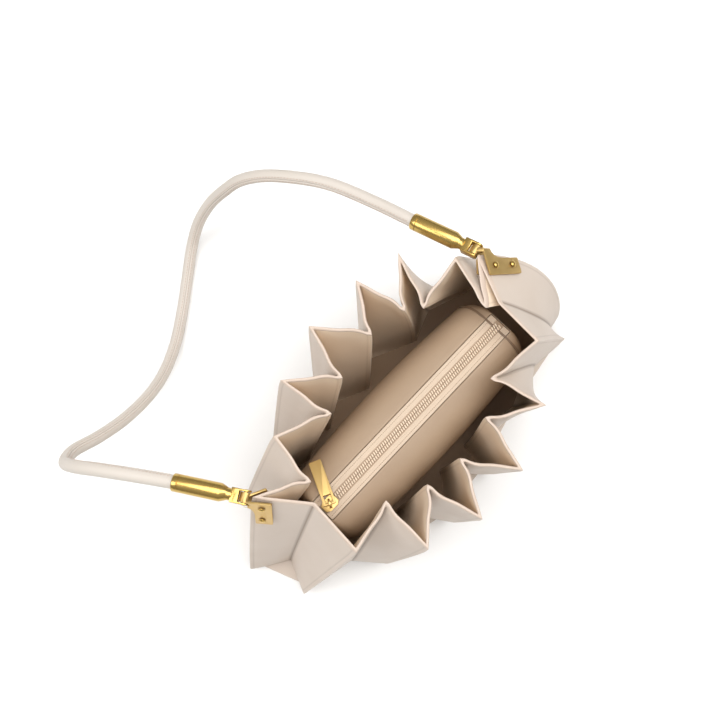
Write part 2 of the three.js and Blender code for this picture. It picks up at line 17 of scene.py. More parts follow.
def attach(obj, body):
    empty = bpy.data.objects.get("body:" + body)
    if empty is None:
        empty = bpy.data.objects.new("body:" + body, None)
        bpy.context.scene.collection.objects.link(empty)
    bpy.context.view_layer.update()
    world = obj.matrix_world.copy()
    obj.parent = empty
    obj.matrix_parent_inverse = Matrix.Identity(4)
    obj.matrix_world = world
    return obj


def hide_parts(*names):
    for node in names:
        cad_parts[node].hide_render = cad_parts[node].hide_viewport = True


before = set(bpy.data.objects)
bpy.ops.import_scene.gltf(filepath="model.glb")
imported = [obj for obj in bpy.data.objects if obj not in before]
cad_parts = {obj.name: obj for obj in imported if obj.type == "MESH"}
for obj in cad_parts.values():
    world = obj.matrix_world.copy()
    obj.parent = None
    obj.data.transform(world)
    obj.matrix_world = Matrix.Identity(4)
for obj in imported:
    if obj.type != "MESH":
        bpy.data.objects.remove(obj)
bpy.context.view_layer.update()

LOG = logging.getLogger("pleated_bag")

Colour = tuple[float, float, float]
Pair = tuple[float, float]
Point = tuple[float, float, float]
Ring = list[Vector]
Socket = bpy.types.NodeSocket
Value = float | Socket
Dye = Colour | Socket

# Points no further apart than this are one point
MERGE_DISTANCE = 1e-6
# No stretch of a path is taken as shorter than this
SHORTEST_STRETCH = 1e-9


class Body(Enum):
    """The bodies that the pieces ride on."""

    BAG = "bag"
    PULL = "zip_pull"


class Slot(Enum):
    """The record's material slots."""

    CREAM_LEATHER = "cream_leather"
    TAN_LINING = "tan_lining"
    ZIP_TAPE = "zip_tape"
    GOLD_BRASS = "gold_brass"


class Mark(Enum):
    """Masks that a piece's mesh carries for its finish."""

    # Darkens: painted shade in folds, pressed lines and the strap's seam groove; the pouch's seam band is
    # darkened through it as well
    CREASE = "crease"
    # Lightens fold tips, partly for wear and partly as a painted highlight
    EDGE = "edge"


# Finishes


def srgb(red: int, green: int, blue: int) -> Colour:
    """Turns a colour as seen on a screen into the linear one that shaders use.

    Args:
        red: the screen's red, 0 to 255.
        green: its green.
        blue: its blue.

    Returns:
        The linear colour.
    """

    def linear(value: int) -> float:
        """One channel."""
        share = value / 255
        return share / 12.92 if share <= 0.04045 else ((share + 0.055) / 1.055) ** 2.4

    return linear(red), linear(green), linear(blue)


# A colour Mix node's sockets by number: its share, its two colours and its result
MIX_SHARE, MIX_FIRST, MIX_SECOND, MIX_RESULT = 0, 6, 7, 2


class Nodes:
    """A node tree that is being laid out."""

    def __init__(self, tree: bpy.types.NodeTree) -> None:
        """Starts on a tree."""
        self.tree = tree

    def add(self, kind: str, inputs: dict | None = None, **settings: object) -> bpy.types.Node:
        """Adds a node.

        Args:
            kind: the node's type, without its ShaderNode prefix.
            inputs: a value, or an output socket to link, for each named or numbered input.
            settings: the node's own properties.

        Returns:
            The new node.
        """
        node = self.tree.nodes.new(kind if kind.startswith("NodeGroup") else f"ShaderNode{kind}")
        for name, value in settings.items():
            setattr(node, name, value)
        for name, value in (inputs or {}).items():
            if isinstance(value, Socket):
                self.tree.links.new(value, node.inputs[name])
            else:
                node.inputs[name].default_value = value
        return node

    def math(self, operation: str, first: Value, second: Value = 0.0) -> Socket:
        """Adds a Math node and returns its result."""
        return self.add("Math", {0: first, 1: second}, operation=operation).outputs[0]

    def blend(self, share: Value, first: Dye, second: Dye) -> Socket:
        """Mixes two colours.

        Args:
            share: the second colour's share.
            first: the first colour.
            second: the second colour.

        Returns:
            The mixed colour.
        """
        given = {MIX_SHARE: share, MIX_FIRST: first, MIX_SECOND: second}
        inputs = {key: (*value, 1.0) if isinstance(value, tuple) else value for key, value in given.items()}
        return self.add("Mix", inputs, data_type="RGBA").outputs[MIX_RESULT]

    def link(self, output: Socket, node: bpy.types.Node, name: str) -> None:
        """Links an output to a node's named input."""
        self.tree.links.new(output, node.inputs[name])

    def dress(
        self, shader: bpy.types.Node, colour: Socket, roughness: Socket, height: Socket, strength: float,
        relief: float,
    ) -> None:
        """Links a finish to its shader.

        Args:
            shader: the material's shader.
            colour: the finish's colour.
            roughness: its roughness.
            height: the pattern of its fine relief.
            strength: how strongly the relief shows.
            relief: the relief's height in metres.
        """
        bump = self.add("Bump", {"Height": height, "Strength": strength, "Distance": relief})
        self.link(colour, shader, "Base Color")
        self.link(roughness, shader, "Roughness")
        self.link(bump.outputs[0], shader, "Normal")

    def spread(self, value: Value, low: float, high: float) -> Socket:
        """Maps a mask from 0..1 to a range and returns the result."""
        return self.add("MapRange", {"Value": value, "To Min": low, "To Max": high}).outputs[0]


Layout = Callable[[Nodes, bpy.types.Node, bpy.types.Node], None]


def shared_group(
    name: str, inputs: dict[str, str], outputs: Sequence[str], lay: Layout
) -> bpy.types.NodeTree:
    """Makes a shader node group once and gives it back afterwards.

    Args:
        name: the group's name.
        inputs: the socket type of each named input.
        outputs: the names of the outputs, which are all values.
        lay: lays the group's nodes between its input and output nodes.

    Returns:
        The group.
    """
    if name in bpy.data.node_groups:
        return bpy.data.node_groups[name]
    group = bpy.data.node_groups.new(name, "ShaderNodeTree")
    for socket, kind in inputs.items():
        group.interface.new_socket(socket, in_out="INPUT", socket_type=f"NodeSocket{kind}")
    for socket in outputs:
        group.interface.new_socket(socket, in_out="OUTPUT", socket_type="NodeSocketFloat")
    nodes = Nodes(group)
    lay(nodes, nodes.add("NodeGroupInput"), nodes.add("NodeGroupOutput"))
    return group


# The grain's ripple: how much finer than the pebbles it is, and its share of the height
RIPPLE_FINENESS = 2.3
RIPPLE_SHARE = 0.4


def lay_grain(nodes: Nodes, given: bpy.types.Node, out: bpy.types.Node) -> None:
    """Lays a pebbled skin: small cells with fine lines between them, and slow blotches of the dye.

    Args:
        nodes: the group's nodes so far.
        given: its input node.
        out: its output node.
    """
    place, count = given.outputs["Place"], given.outputs["Pebbles per metre"]
    cells = nodes.add("TexVoronoi", {"Vector": place, "Scale": count}, feature="SMOOTH_F1")
    fine_count = nodes.math("MULTIPLY", count, RIPPLE_FINENESS)
    fine = nodes.add("TexNoise", {"Vector": place, "Scale": fine_count, "Detail": 3.0})
    slow = nodes.add("TexNoise", {"Vector": place, "Scale": 22.0, "Detail": 3.0, "Roughness": 0.55})
    domes = nodes.math("SUBTRACT", 1.0, cells.outputs["Distance"])
    ripple = nodes.math("MULTIPLY", fine.outputs[0], RIPPLE_SHARE)
    height = nodes.math("ADD", domes, ripple)
    nodes.link(height, out, "Height")
    nodes.link(slow.outputs[0], out, "Blotch")


def grain_group() -> bpy.types.NodeTree:
    """The leather's grain, shared by every leather."""
    sockets = {"Place": "Vector", "Pebbles per metre": "Float"}
    return shared_group("leather_grain", sockets, ("Height", "Blotch"), lay_grain)


# The length of one band of a Wave texture at scale 1
BAND_LENGTH = math.tau / 20


def lay_weave(nodes: Nodes, given: bpy.types.Node, out: bpy.types.Node) -> None:
    """Lays threads that cross over and under each other.

    Args:
        nodes: the group's nodes so far.
        given: its input node.
        out: its output node.
    """
    place = given.outputs["Place"]
    count = nodes.math("DIVIDE", BAND_LENGTH, given.outputs["Thread spacing"])
    waves = []
    for direction in ("X", "Y"):
        inputs = {"Vector": place, "Scale": count, "Distortion": 0.6}
        waves.append(nodes.add("TexWave", inputs, bands_direction=direction).outputs["Fac"])
    cloud = nodes.add("TexNoise", {"Vector": place, "Scale": 240.0, "Detail": 2.0})
    nodes.link(nodes.math("MAXIMUM", *waves), out, "Height")
    nodes.link(cloud.outputs[0], out, "Cloud")


def weave_group() -> bpy.types.NodeTree:
    """The weave, shared by the tape and the thread."""
    sockets = {"Place": "Vector", "Thread spacing": "Float"}
    return shared_group("weave", sockets, ("Height", "Cloud"), lay_weave)


def lay_handling(nodes: Nodes, given: bpy.types.Node, out: bpy.types.Node) -> None:
    """Lays faint smears and hairlines left by handling.

    Args:
        nodes: the group's nodes so far.
        given: its input node.
        out: its output node.
    """
    place = given.outputs["Place"]
    smear = nodes.add("TexNoise", {"Vector": place, "Scale": 90.0, "Detail": 4.0, "Roughness": 0.6})
    stretched = nodes.add("Mapping", {"Vector": place, "Scale": (900.0, 120.0, 900.0)})
    hair = nodes.add("TexNoise", {"Vector": stretched.outputs[0], "Scale": 3.0, "Detail": 2.0})
    nodes.link(smear.outputs[0], out, "Smear")
    nodes.link(hair.outputs[0], out, "Hairlines")


def handling_group() -> bpy.types.NodeTree:
    """The marks of handling, shared by the metal and the painted edge."""
    return shared_group("handling", {"Place": "Vector"}, ("Smear", "Hairlines"), lay_handling)


def new_material(name: str, **sockets: float) -> tuple[bpy.types.Material, Nodes, bpy.types.Node, Socket]:
    """Starts a material.

    Args:
        name: the material's name.
        sockets: constants for the shader's own sockets, with _ for a space.

    Returns:
        The material, its nodes, its shader and the object coordinates.
    """
    material = bpy.data.materials.new(name)
    material.use_nodes = True
    nodes = Nodes(material.node_tree)
    shader = material.node_tree.nodes["Principled BSDF"]
    for socket, value in sockets.items():
        shader.inputs[socket.replace("_", " ")].default_value = value
    return material, nodes, shader, nodes.add("TexCoord").outputs["Object"]


@dataclass(frozen=True)
class LeatherFinish:
    """A dyed leather with a fine grain; painted shade darkens its pressed lines and creases, and its folds are
    lighter, partly for wear and partly as a painted highlight.
    """

    name: str
    colour: Colour
    blotch: Colour
    # The colour of painted shade in creases, pressed lines and the strap's seam, and of the pouch's darker
    # seam band
    crease: Colour
    # The colour of the fold tips, lighter for wear and as a painted highlight
    edge: Colour
    roughness: Pair
    pebbles: float = 1500.0
    relief: float = 0.00012
    wear_and_highlight_share: float = 0.5
    crease_share: float = 0.8
    blotches: Pair = (-0.2, 1.1)
    relief_shows: float = 0.35

    def material(self) -> bpy.types.Material:
        """Lays the leather's nodes.

        Returns:
            The material.
        """
        material, nodes, shader, place = new_material(self.name, Specular_IOR_Level=0.38)
        inputs = {"Place": place, "Pebbles per metre": self.pebbles}
        grain = nodes.add("Group", inputs, node_tree=grain_group())
        height, blotch = grain.outputs["Height"], grain.outputs["Blotch"]
        dye = nodes.blend(nodes.spread(blotch, *self.blotches), self.colour, self.blotch)
        edge = nodes.add("Attribute", attribute_name=Mark.EDGE.value).outputs["Fac"]
        crease = nodes.add("Attribute", attribute_name=Mark.CREASE.value).outputs["Fac"]
        # Fold tips lighter, partly for wear and partly as a painted highlight
        lit = nodes.blend(nodes.math("MULTIPLY", edge, self.wear_and_highlight_share), dye, self.edge)
        # Painted shade darkens creases, pressed lines and seams
        dark = nodes.blend(nodes.math("MULTIPLY", crease, self.crease_share), lit, self.crease)
        rough = nodes.spread(blotch, *self.roughness)
        nodes.dress(shader, dark, rough, height, self.relief_shows, self.relief)
        return material


@dataclass(frozen=True)
class WovenFinish:
    """A woven or twisted yarn, with painted shade in the hollows between its threads."""

    name: str
    colour: Colour
    # The colour of the painted shade in the weave's hollows
    hollow: Colour
    spacing: float
    turn: float = 0.0
    roughness: Pair = (0.7, 0.95)
    relief: float = 0.00015
    relief_shows: float = 0.5

    def material(self) -> bpy.types.Material:
        """Lays the yarn's nodes.

        Returns:
            The material.
        """
        material, nodes, shader, place = new_material(self.name, Specular_IOR_Level=0.25, Sheen_Weight=0.15)
        turned = nodes.add("Mapping", {"Vector": place, "Rotation": (0.0, 0.0, self.turn)})
        inputs = {"Place": turned.outputs[0], "Thread spacing": self.spacing}
        weave = nodes.add("Group", inputs, node_tree=weave_group())
        height = weave.outputs["Height"]
        # Painted shade: the colour darkens into the weave's hollows
        yarn = nodes.blend(height, self.hollow, self.colour)
        rough = nodes.spread(weave.outputs["Cloud"], *self.roughness)
        nodes.dress(shader, yarn, rough, height, self.relief_shows, self.relief)
        return material


@dataclass(frozen=True)
class SmoothFinish:
    """A smooth metal, paint or plastic that shows faint marks of handling."""

    name: str
    colour: Colour
    smeared: Colour
    roughness: Pair
    metallic: float = 0.0
    relief: float = 0.00001
    relief_shows: float = 0.2

    def material(self) -> bpy.types.Material:
        """Lays the finish's nodes.

        Returns:
            The material.
        """
        material, nodes, shader, place = new_material(self.name, Metallic=self.metallic)
        marks = nodes.add("Group", {"Place": place}, node_tree=handling_group())
        smear, lines = marks.outputs["Smear"], marks.outputs["Hairlines"]
        tone = nodes.blend(smear, self.colour, self.smeared)
        rough = nodes.spread(smear, *self.roughness)
        nodes.dress(shader, tone, rough, lines, self.relief_shows, self.relief)
        return material


@dataclass(frozen=True)
class Finishes:
    """Every finish of the bag, as materials."""

    cream: bpy.types.Material
    strap: bpy.types.Material
    tan: bpy.types.Material
    pouch: bpy.types.Material
    # The tan lining's leather darkened as painted shade on the bag's deep floor
    floor: bpy.types.Material
    paint: bpy.types.Material
    tape: bpy.types.Material
    coil: bpy.types.Material
    pale_thread: bpy.types.Material
    tan_thread: bpy.types.Material
    gold: bpy.types.Material
    satin: bpy.types.Material

    @classmethod
    def make(cls, turn: float) -> "Finishes":
        """Makes the materials.

        Args:
            turn: how far the zip, and so its tape's weave, is turned from the X axis.

        Returns:
            The finishes.
        """
        cream = LeatherFinish(
            "cream_leather",
            colour=srgb(207, 194, 182),
            blotch=srgb(199, 184, 170),
            crease=srgb(122, 102, 86),
            edge=srgb(218, 206, 196),
            roughness=(0.42, 0.6),
        )
        strap = LeatherFinish(
            "strap_leather",
            colour=srgb(206, 198, 189),
            blotch=srgb(199, 190, 180),
            crease=srgb(156, 140, 126),
            edge=srgb(212, 205, 197),
            roughness=(0.4, 0.55),
            pebbles=1900.0,
        )
        tan = LeatherFinish(
            "tan_lining",
            colour=srgb(236, 217, 194),
            blotch=srgb(229, 209, 185),
            crease=srgb(160, 136, 113),
            edge=srgb(240, 223, 204),
            roughness=(0.45, 0.62),
            wear_and_highlight_share=0.8,
        )
        pouch = LeatherFinish(
            "pouch_leather",
            colour=srgb(163, 141, 118),
            blotch=srgb(155, 132, 109),
            crease=srgb(100, 79, 61),
            edge=srgb(173, 152, 129),
            roughness=(0.42, 0.58),
        )
        # The tan lining's leather darkened as painted shade on the bag's deep floor
        floor = LeatherFinish(
            "painted_shade_floor_lining",
            colour=srgb(172, 146, 120),
            blotch=srgb(160, 133, 107),
            crease=srgb(110, 88, 70),
            edge=srgb(180, 155, 130),
            roughness=(0.6, 0.75),
        )
        paint = SmoothFinish(
            "edge_paint", srgb(208, 190, 175), srgb(199, 180, 164), (0.4, 0.55), relief=0.00003
        )
        tape = WovenFinish("zip_tape", srgb(210, 191, 170), srgb(184, 164, 143), 0.0008, -turn)
        coil = SmoothFinish("zip_coil", srgb(230, 211, 189), srgb(220, 200, 177), (0.4, 0.55), relief=0.00002)
        pale = WovenFinish("pale_thread", srgb(206, 186, 172), srgb(150, 130, 116), 0.0004, 0.7)
        dark = WovenFinish("tan_thread", srgb(146, 122, 99), srgb(112, 90, 71), 0.0004, 0.7)
        gold = SmoothFinish(
            "gold_brass", srgb(208, 178, 108), srgb(192, 158, 86), (0.18, 0.32), metallic=1.0
        )
        satin = SmoothFinish(
            "gold_satin", srgb(212, 182, 122), srgb(198, 166, 104), (0.38, 0.5), metallic=1.0
        )
        made = (cream, strap, tan, pouch, floor, paint, tape, coil, pale, dark, gold, satin)
        return cls(*(finish.material() for finish in made))


# Making pieces


def add_piece(
    name: str, bm: bmesh.types.BMesh, material: bpy.types.Material, nodes: Iterable[str] = (),
    body: Body = Body.BAG, sharp: float = 180.0, subdivisions: int = 0,
) -> bpy.types.Object:
    """Turns a bmesh into a piece of the bag.

    Args:
        name: the piece's name.
        bm: its shape, which is freed.
        material: its finish.
        nodes: the solids that it stands for.
        body: the body that it rides on.
        sharp: edges that turn by more degrees than this stay sharp.
        subdivisions: the level of its subdivision surface.

    Returns:
        The piece.
    """
    mesh = bpy.data.meshes.new(name)
    bm.to_mesh(mesh)
    bm.free()
    mesh.shade_smooth()
    if sharp < 180.0:
        mesh.set_sharp_from_angle(angle=math.radians(sharp))
    mesh.materials.append(material)
    piece = bpy.data.objects.new(name, mesh)
    bpy.context.scene.collection.objects.link(piece)
    if subdivisions:
        surface = piece.modifiers.new("smooth", "SUBSURF")
        surface.levels = surface.render_levels = subdivisions
    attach(piece, body.value)
    if nodes:
        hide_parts(*nodes)
    LOG.info("%s: %d faces", name, len(mesh.polygons))
    return piece


def loft(
    rings: Sequence[Ring], wraps: bool = False, marks: dict[Mark, list[list[float]]] | None = None
) -> bmesh.types.BMesh:
    """Extrudes a closed ring of edges through a row of rings with as many points.

    Args:
        rings: the rings, in order.
        wraps: whether the last ring joins the first again; otherwise both ends are filled.
        marks: for each mask, its value at each point of each ring.

    Returns:
        The closed shape.
    """
    bm = bmesh.new()
    station = bm.verts.layers.int.new("station")
    layers = {mark: bm.verts.layers.float.new(mark.value) for mark in marks or {}}
    verts = [bm.verts.new(point) for point in rings[0]]
    for index, vert in enumerate(verts):
        vert[station] = index
    edges = [bm.edges.new((verts[i - 1], verts[i])) for i in range(len(verts))]
    order = list(range(len(rings))) + ([0] if wraps else [])
    for number in order:
        if number or len(bm.faces):
            made = bmesh.ops.extrude_edge_only(bm, edges=edges)["geom"]
            verts = [item for item in made if isinstance(item, bmesh.types.BMVert)]
            fresh = set(verts)
            edges = [e for e in made if isinstance(e, bmesh.types.BMEdge) and fresh.issuperset(e.verts)]
        for vert in verts:
            vert.co = rings[number][vert[station]]
            for mark, layer in layers.items():
                vert[layer] = marks[mark][number][vert[station]]
    if wraps:
        bmesh.ops.remove_doubles(bm, verts=bm.verts, dist=MERGE_DISTANCE)
    else:
        bmesh.ops.holes_fill(bm, edges=[e for e in bm.edges if e.is_boundary], sides=0)
    bmesh.ops.recalc_face_normals(bm, faces=bm.faces)
    return bm


def round_edges(bm: bmesh.types.BMesh, width: float, segments: int = 2, angle: float = 30.0) -> None:
    """Bevels every edge that turns by more than an angle.

    Args:
        bm: the shape, which is changed.
        width: the bevel's width.
        segments: its steps.
        angle: edges that turn by more degrees than this are bevelled.
    """
    turning = [e for e in bm.edges if len(e.link_faces) == 2 and e.calc_face_angle() > math.radians(angle)]
    bmesh.ops.bevel(
        bm, geom=turning, offset=width, offset_type="OFFSET", affect="EDGES", segments=segments, profile=0.5,
        material=-1, clamp_overlap=True,
    )


def extruded(outline: Sequence[Pair], low: float, high: float) -> bmesh.types.BMesh:
    """Extrudes a flat outline from one height to another.

    Args:
        outline: its corners, in order.
        low: the height of the bottom.
        high: the height of the top.

    Returns:
        The closed shape.
    """
    bm = bmesh.new()
    face = bm.faces.new([bm.verts.new((x, y, low)) for x, y in outline])
    made = bmesh.ops.extrude_face_region(bm, geom=[face])["geom"]
    risen = [item for item in made if isinstance(item, bmesh.types.BMVert)]
    bmesh.ops.translate(bm, verts=risen, vec=(0.0, 0.0, high - low))
    bmesh.ops.recalc_face_normals(bm, faces=bm.faces)
    return bm


def spun(profile: Sequence[Pair], steps: int = 48) -> bmesh.types.BMesh:
    """Spins a profile once round the X axis.

    Args:
        profile: its points, each a distance along X and a radius.
        steps: the steps of the full turn.

    Returns:
        The shape.
    """
    bm = bmesh.new()
    verts = [bm.verts.new((along, 0.0, radius)) for along, radius in profile]
    edges = [bm.edges.new(pair) for pair in zip(verts, verts[1:])]
    bmesh.ops.spin(
        bm, geom=verts + edges, axis=(1, 0, 0), cent=(0, 0, 0), angle=math.tau, steps=steps, use_merge=True
    )
    bmesh.ops.remove_doubles(bm, verts=bm.verts, dist=MERGE_DISTANCE)
    bmesh.ops.recalc_face_normals(bm, faces=bm.faces)
    return bm


def joined(parts: Iterable[bmesh.types.BMesh]) -> bmesh.types.BMesh:
    """Puts several shapes into one and frees them.

    Args:
        parts: the shapes.

    Returns:
        The one shape.
    """
    whole = bmesh.new()
    for part in parts:
        mesh = bpy.data.meshes.new("part")
        part.to_mesh(mesh)
        part.free()
        whole.from_mesh(mesh)
        bpy.data.meshes.remove(mesh)
    return whole


def basis(centre: Vector, along: Vector, up: Vector) -> Matrix:
    """Finds a place whose X axis runs along one direction and whose Z axis comes near to another.

    Args:
        centre: the place's origin.
        along: the direction of its X axis.
        up: the direction that its Z axis comes nearest to.

    Returns:
        The place's matrix.
    """
    first = along.normalized()
    second = up.cross(first).normalized()
    third = first.cross(second)
    return Matrix.Translation(centre) @ Matrix((first, second, third)).transposed().to_4x4()


def smooth_path(points: Sequence[Vector], steps: int) -> list[Vector]:
    """Draws a smooth curve through points, without loops where they lie close together.

    Args:
        points: the points, in order.
        steps: the steps from one of them to the next.

    Returns:
        The curve's points.
    """
    around = [points[0] * 2 - points[1], *points, points[-1] * 2 - points[-2]]
    path = []
    for index in range(len(points) - 1):
        before, first, second, after = around[index : index + 4]
        gaps = [math.sqrt((b - a).length) for a, b in ((before, first), (first, second), (second, after))]
        leave = (first - before) / gaps[0] - (second - before) / (gaps[0] + gaps[1])
        reach = (after - second) / gaps[2] - (after - first) / (gaps[1] + gaps[2])
        leave = leave * gaps[1] + second - first
        reach = reach * gaps[1] + second - first
        for step in range(steps):
            t = step / steps
            bend = (second - first) * 3 - leave * 2 - reach
            close = (first - second) * 2 + leave + reach
            path.append(first + leave * t + bend * t**2 + close * t**3)
    return [*path, points[-1].copy()]


def along_path(path: Sequence[Vector], places: Iterable[float]) -> list[Vector]:
    """Finds the points at given distances along a line of points.

    Args:
        path: the line of points.
        places: the distances from its start, in rising order.

    Returns:
        The points at those distances.
    """
    found = []
    done, index = 0.0, 0
    for place in places:
        while index < len(path) - 2 and done + (path[index + 1] - path[index]).length < place:
            done += (path[index + 1] - path[index]).length
            index += 1
        stretch = path[index + 1] - path[index]
        found.append(path[index] + stretch * ((place - done) / max(stretch.length, SHORTEST_STRETCH)))
    return found


def path_length(path: Sequence[Vector]) -> float:
    """The length of a line of points."""
    return sum((b - a).length for a, b in zip(path, path[1:]))


def stitch_row(
    path: Sequence[Vector],
    ups: Callable[[Vector, Vector], Vector],
    pitch: float,
    length: float,
    radius: float,
) -> bmesh.types.BMesh:
    """Lays a row of short round stitches along a path.

    Args:
        path: the points that the row follows.
        ups: gives the direction that a stitch stands up in, from its place and its own direction.
        pitch: the distance from stitch to stitch.
        length: a stitch's length.
        radius: half of the thread's thickness.

    Returns:
        The row.
    """
    bm = bmesh.new()
    count = int(path_length(path) / pitch)
    places = along_path(path, [(number + 0.5) * pitch for number in range(count)])
    for number, place in enumerate(places):
        towards = places[min(number + 1, count - 1)] - places[max(number - 1, 0)]
        size = Matrix.Diagonal((length / 2, radius, radius, 1.0))
        matrix = basis(place, towards, ups(place, towards)) @ size
        bmesh.ops.create_icosphere(bm, subdivisions=2, radius=1.0, matrix=matrix)
    return bm


def upwards(place: Vector, along: Vector) -> Vector:
    """Straight up, wherever a stitch lies."""
    return Vector((0, 0, 1))


def smoothstep(value: float, low: float, high: float) -> float:
    """Rises smoothly from 0 at the low value to 1 at the high one."""
    share = max(0.0, min(1.0, (value - low) / (high - low)))
    return share * share * (3 - 2 * share)


# Folded wall


class Turn(Enum):
    """Which way a fold turns."""

    OUTWARD = "outward"
    INWARD = "inward"


@dataclass(frozen=True)
class Fold:
    """One outward fold and the inward fold after it, each at the rim and at the floor.

    The leans, for X and Y, say how late each fold leaves its place at the floor on its way up.
    """

    ridge: Pair
    valley: Pair
    foot: Pair
    hollow: Pair
    ridge_lean: Pair = (1.2, 1.2)
    valley_lean: Pair = (1.35, 1.35)


# From the left end along the front and back; the right end's fold is bent over at its top
FOLDS = (
    Fold((-0.121, 0.030), (-0.095, -0.001), (-0.171, -0.001), (-0.141, -0.016)),
    Fold((-0.096, -0.043), (-0.059, -0.034), (-0.154, -0.043), (-0.106, -0.050), valley_lean=(2.2, 2.2)),
    Fold((-0.060, -0.075), (-0.031, -0.046), (-0.088, -0.072), (-0.050, -0.050)),
    Fold((-0.020, -0.086), (-0.002, -0.049), (-0.024, -0.086), (0.000, -0.052)),
    Fold((0.023, -0.082), (0.031, -0.041), (0.028, -0.081), (0.030, -0.051)),
    Fold((0.066, -0.062), (0.053, -0.024), (0.088, -0.060), (0.114, -0.041), valley_lean=(2.2, 2.2)),
    Fold((0.095, -0.027), (0.095, 0.010), (0.156, -0.044), (0.143, -0.029), valley_lean=(2.2, 3.0)),
    Fold((0.108, 0.044), (0.086, 0.015), (0.160, -0.027), (0.140, -0.005), (4.0, 2.0), (3.8, 3.8)),
    Fold((0.095, 0.054), (0.054, 0.045), (0.156, 0.046), (0.123, 0.046)),
    Fold((0.068, 0.084), (0.043, 0.053), (0.088, 0.062), (0.062, 0.045)),
    Fold((0.033, 0.090), (0.014, 0.057), (0.020, 0.066), (0.004, 0.043)),
    Fold((-0.013, 0.089), (-0.022, 0.049), (-0.036, 0.062), (-0.044, 0.041)),
    Fold((-0.053, 0.075), (-0.045, 0.036), (-0.088, 0.060), (-0.076, 0.034)),
    Fold((-0.083, 0.050), (-0.087, 0.012), (-0.136, 0.044), (-0.138, 0.010)),
)


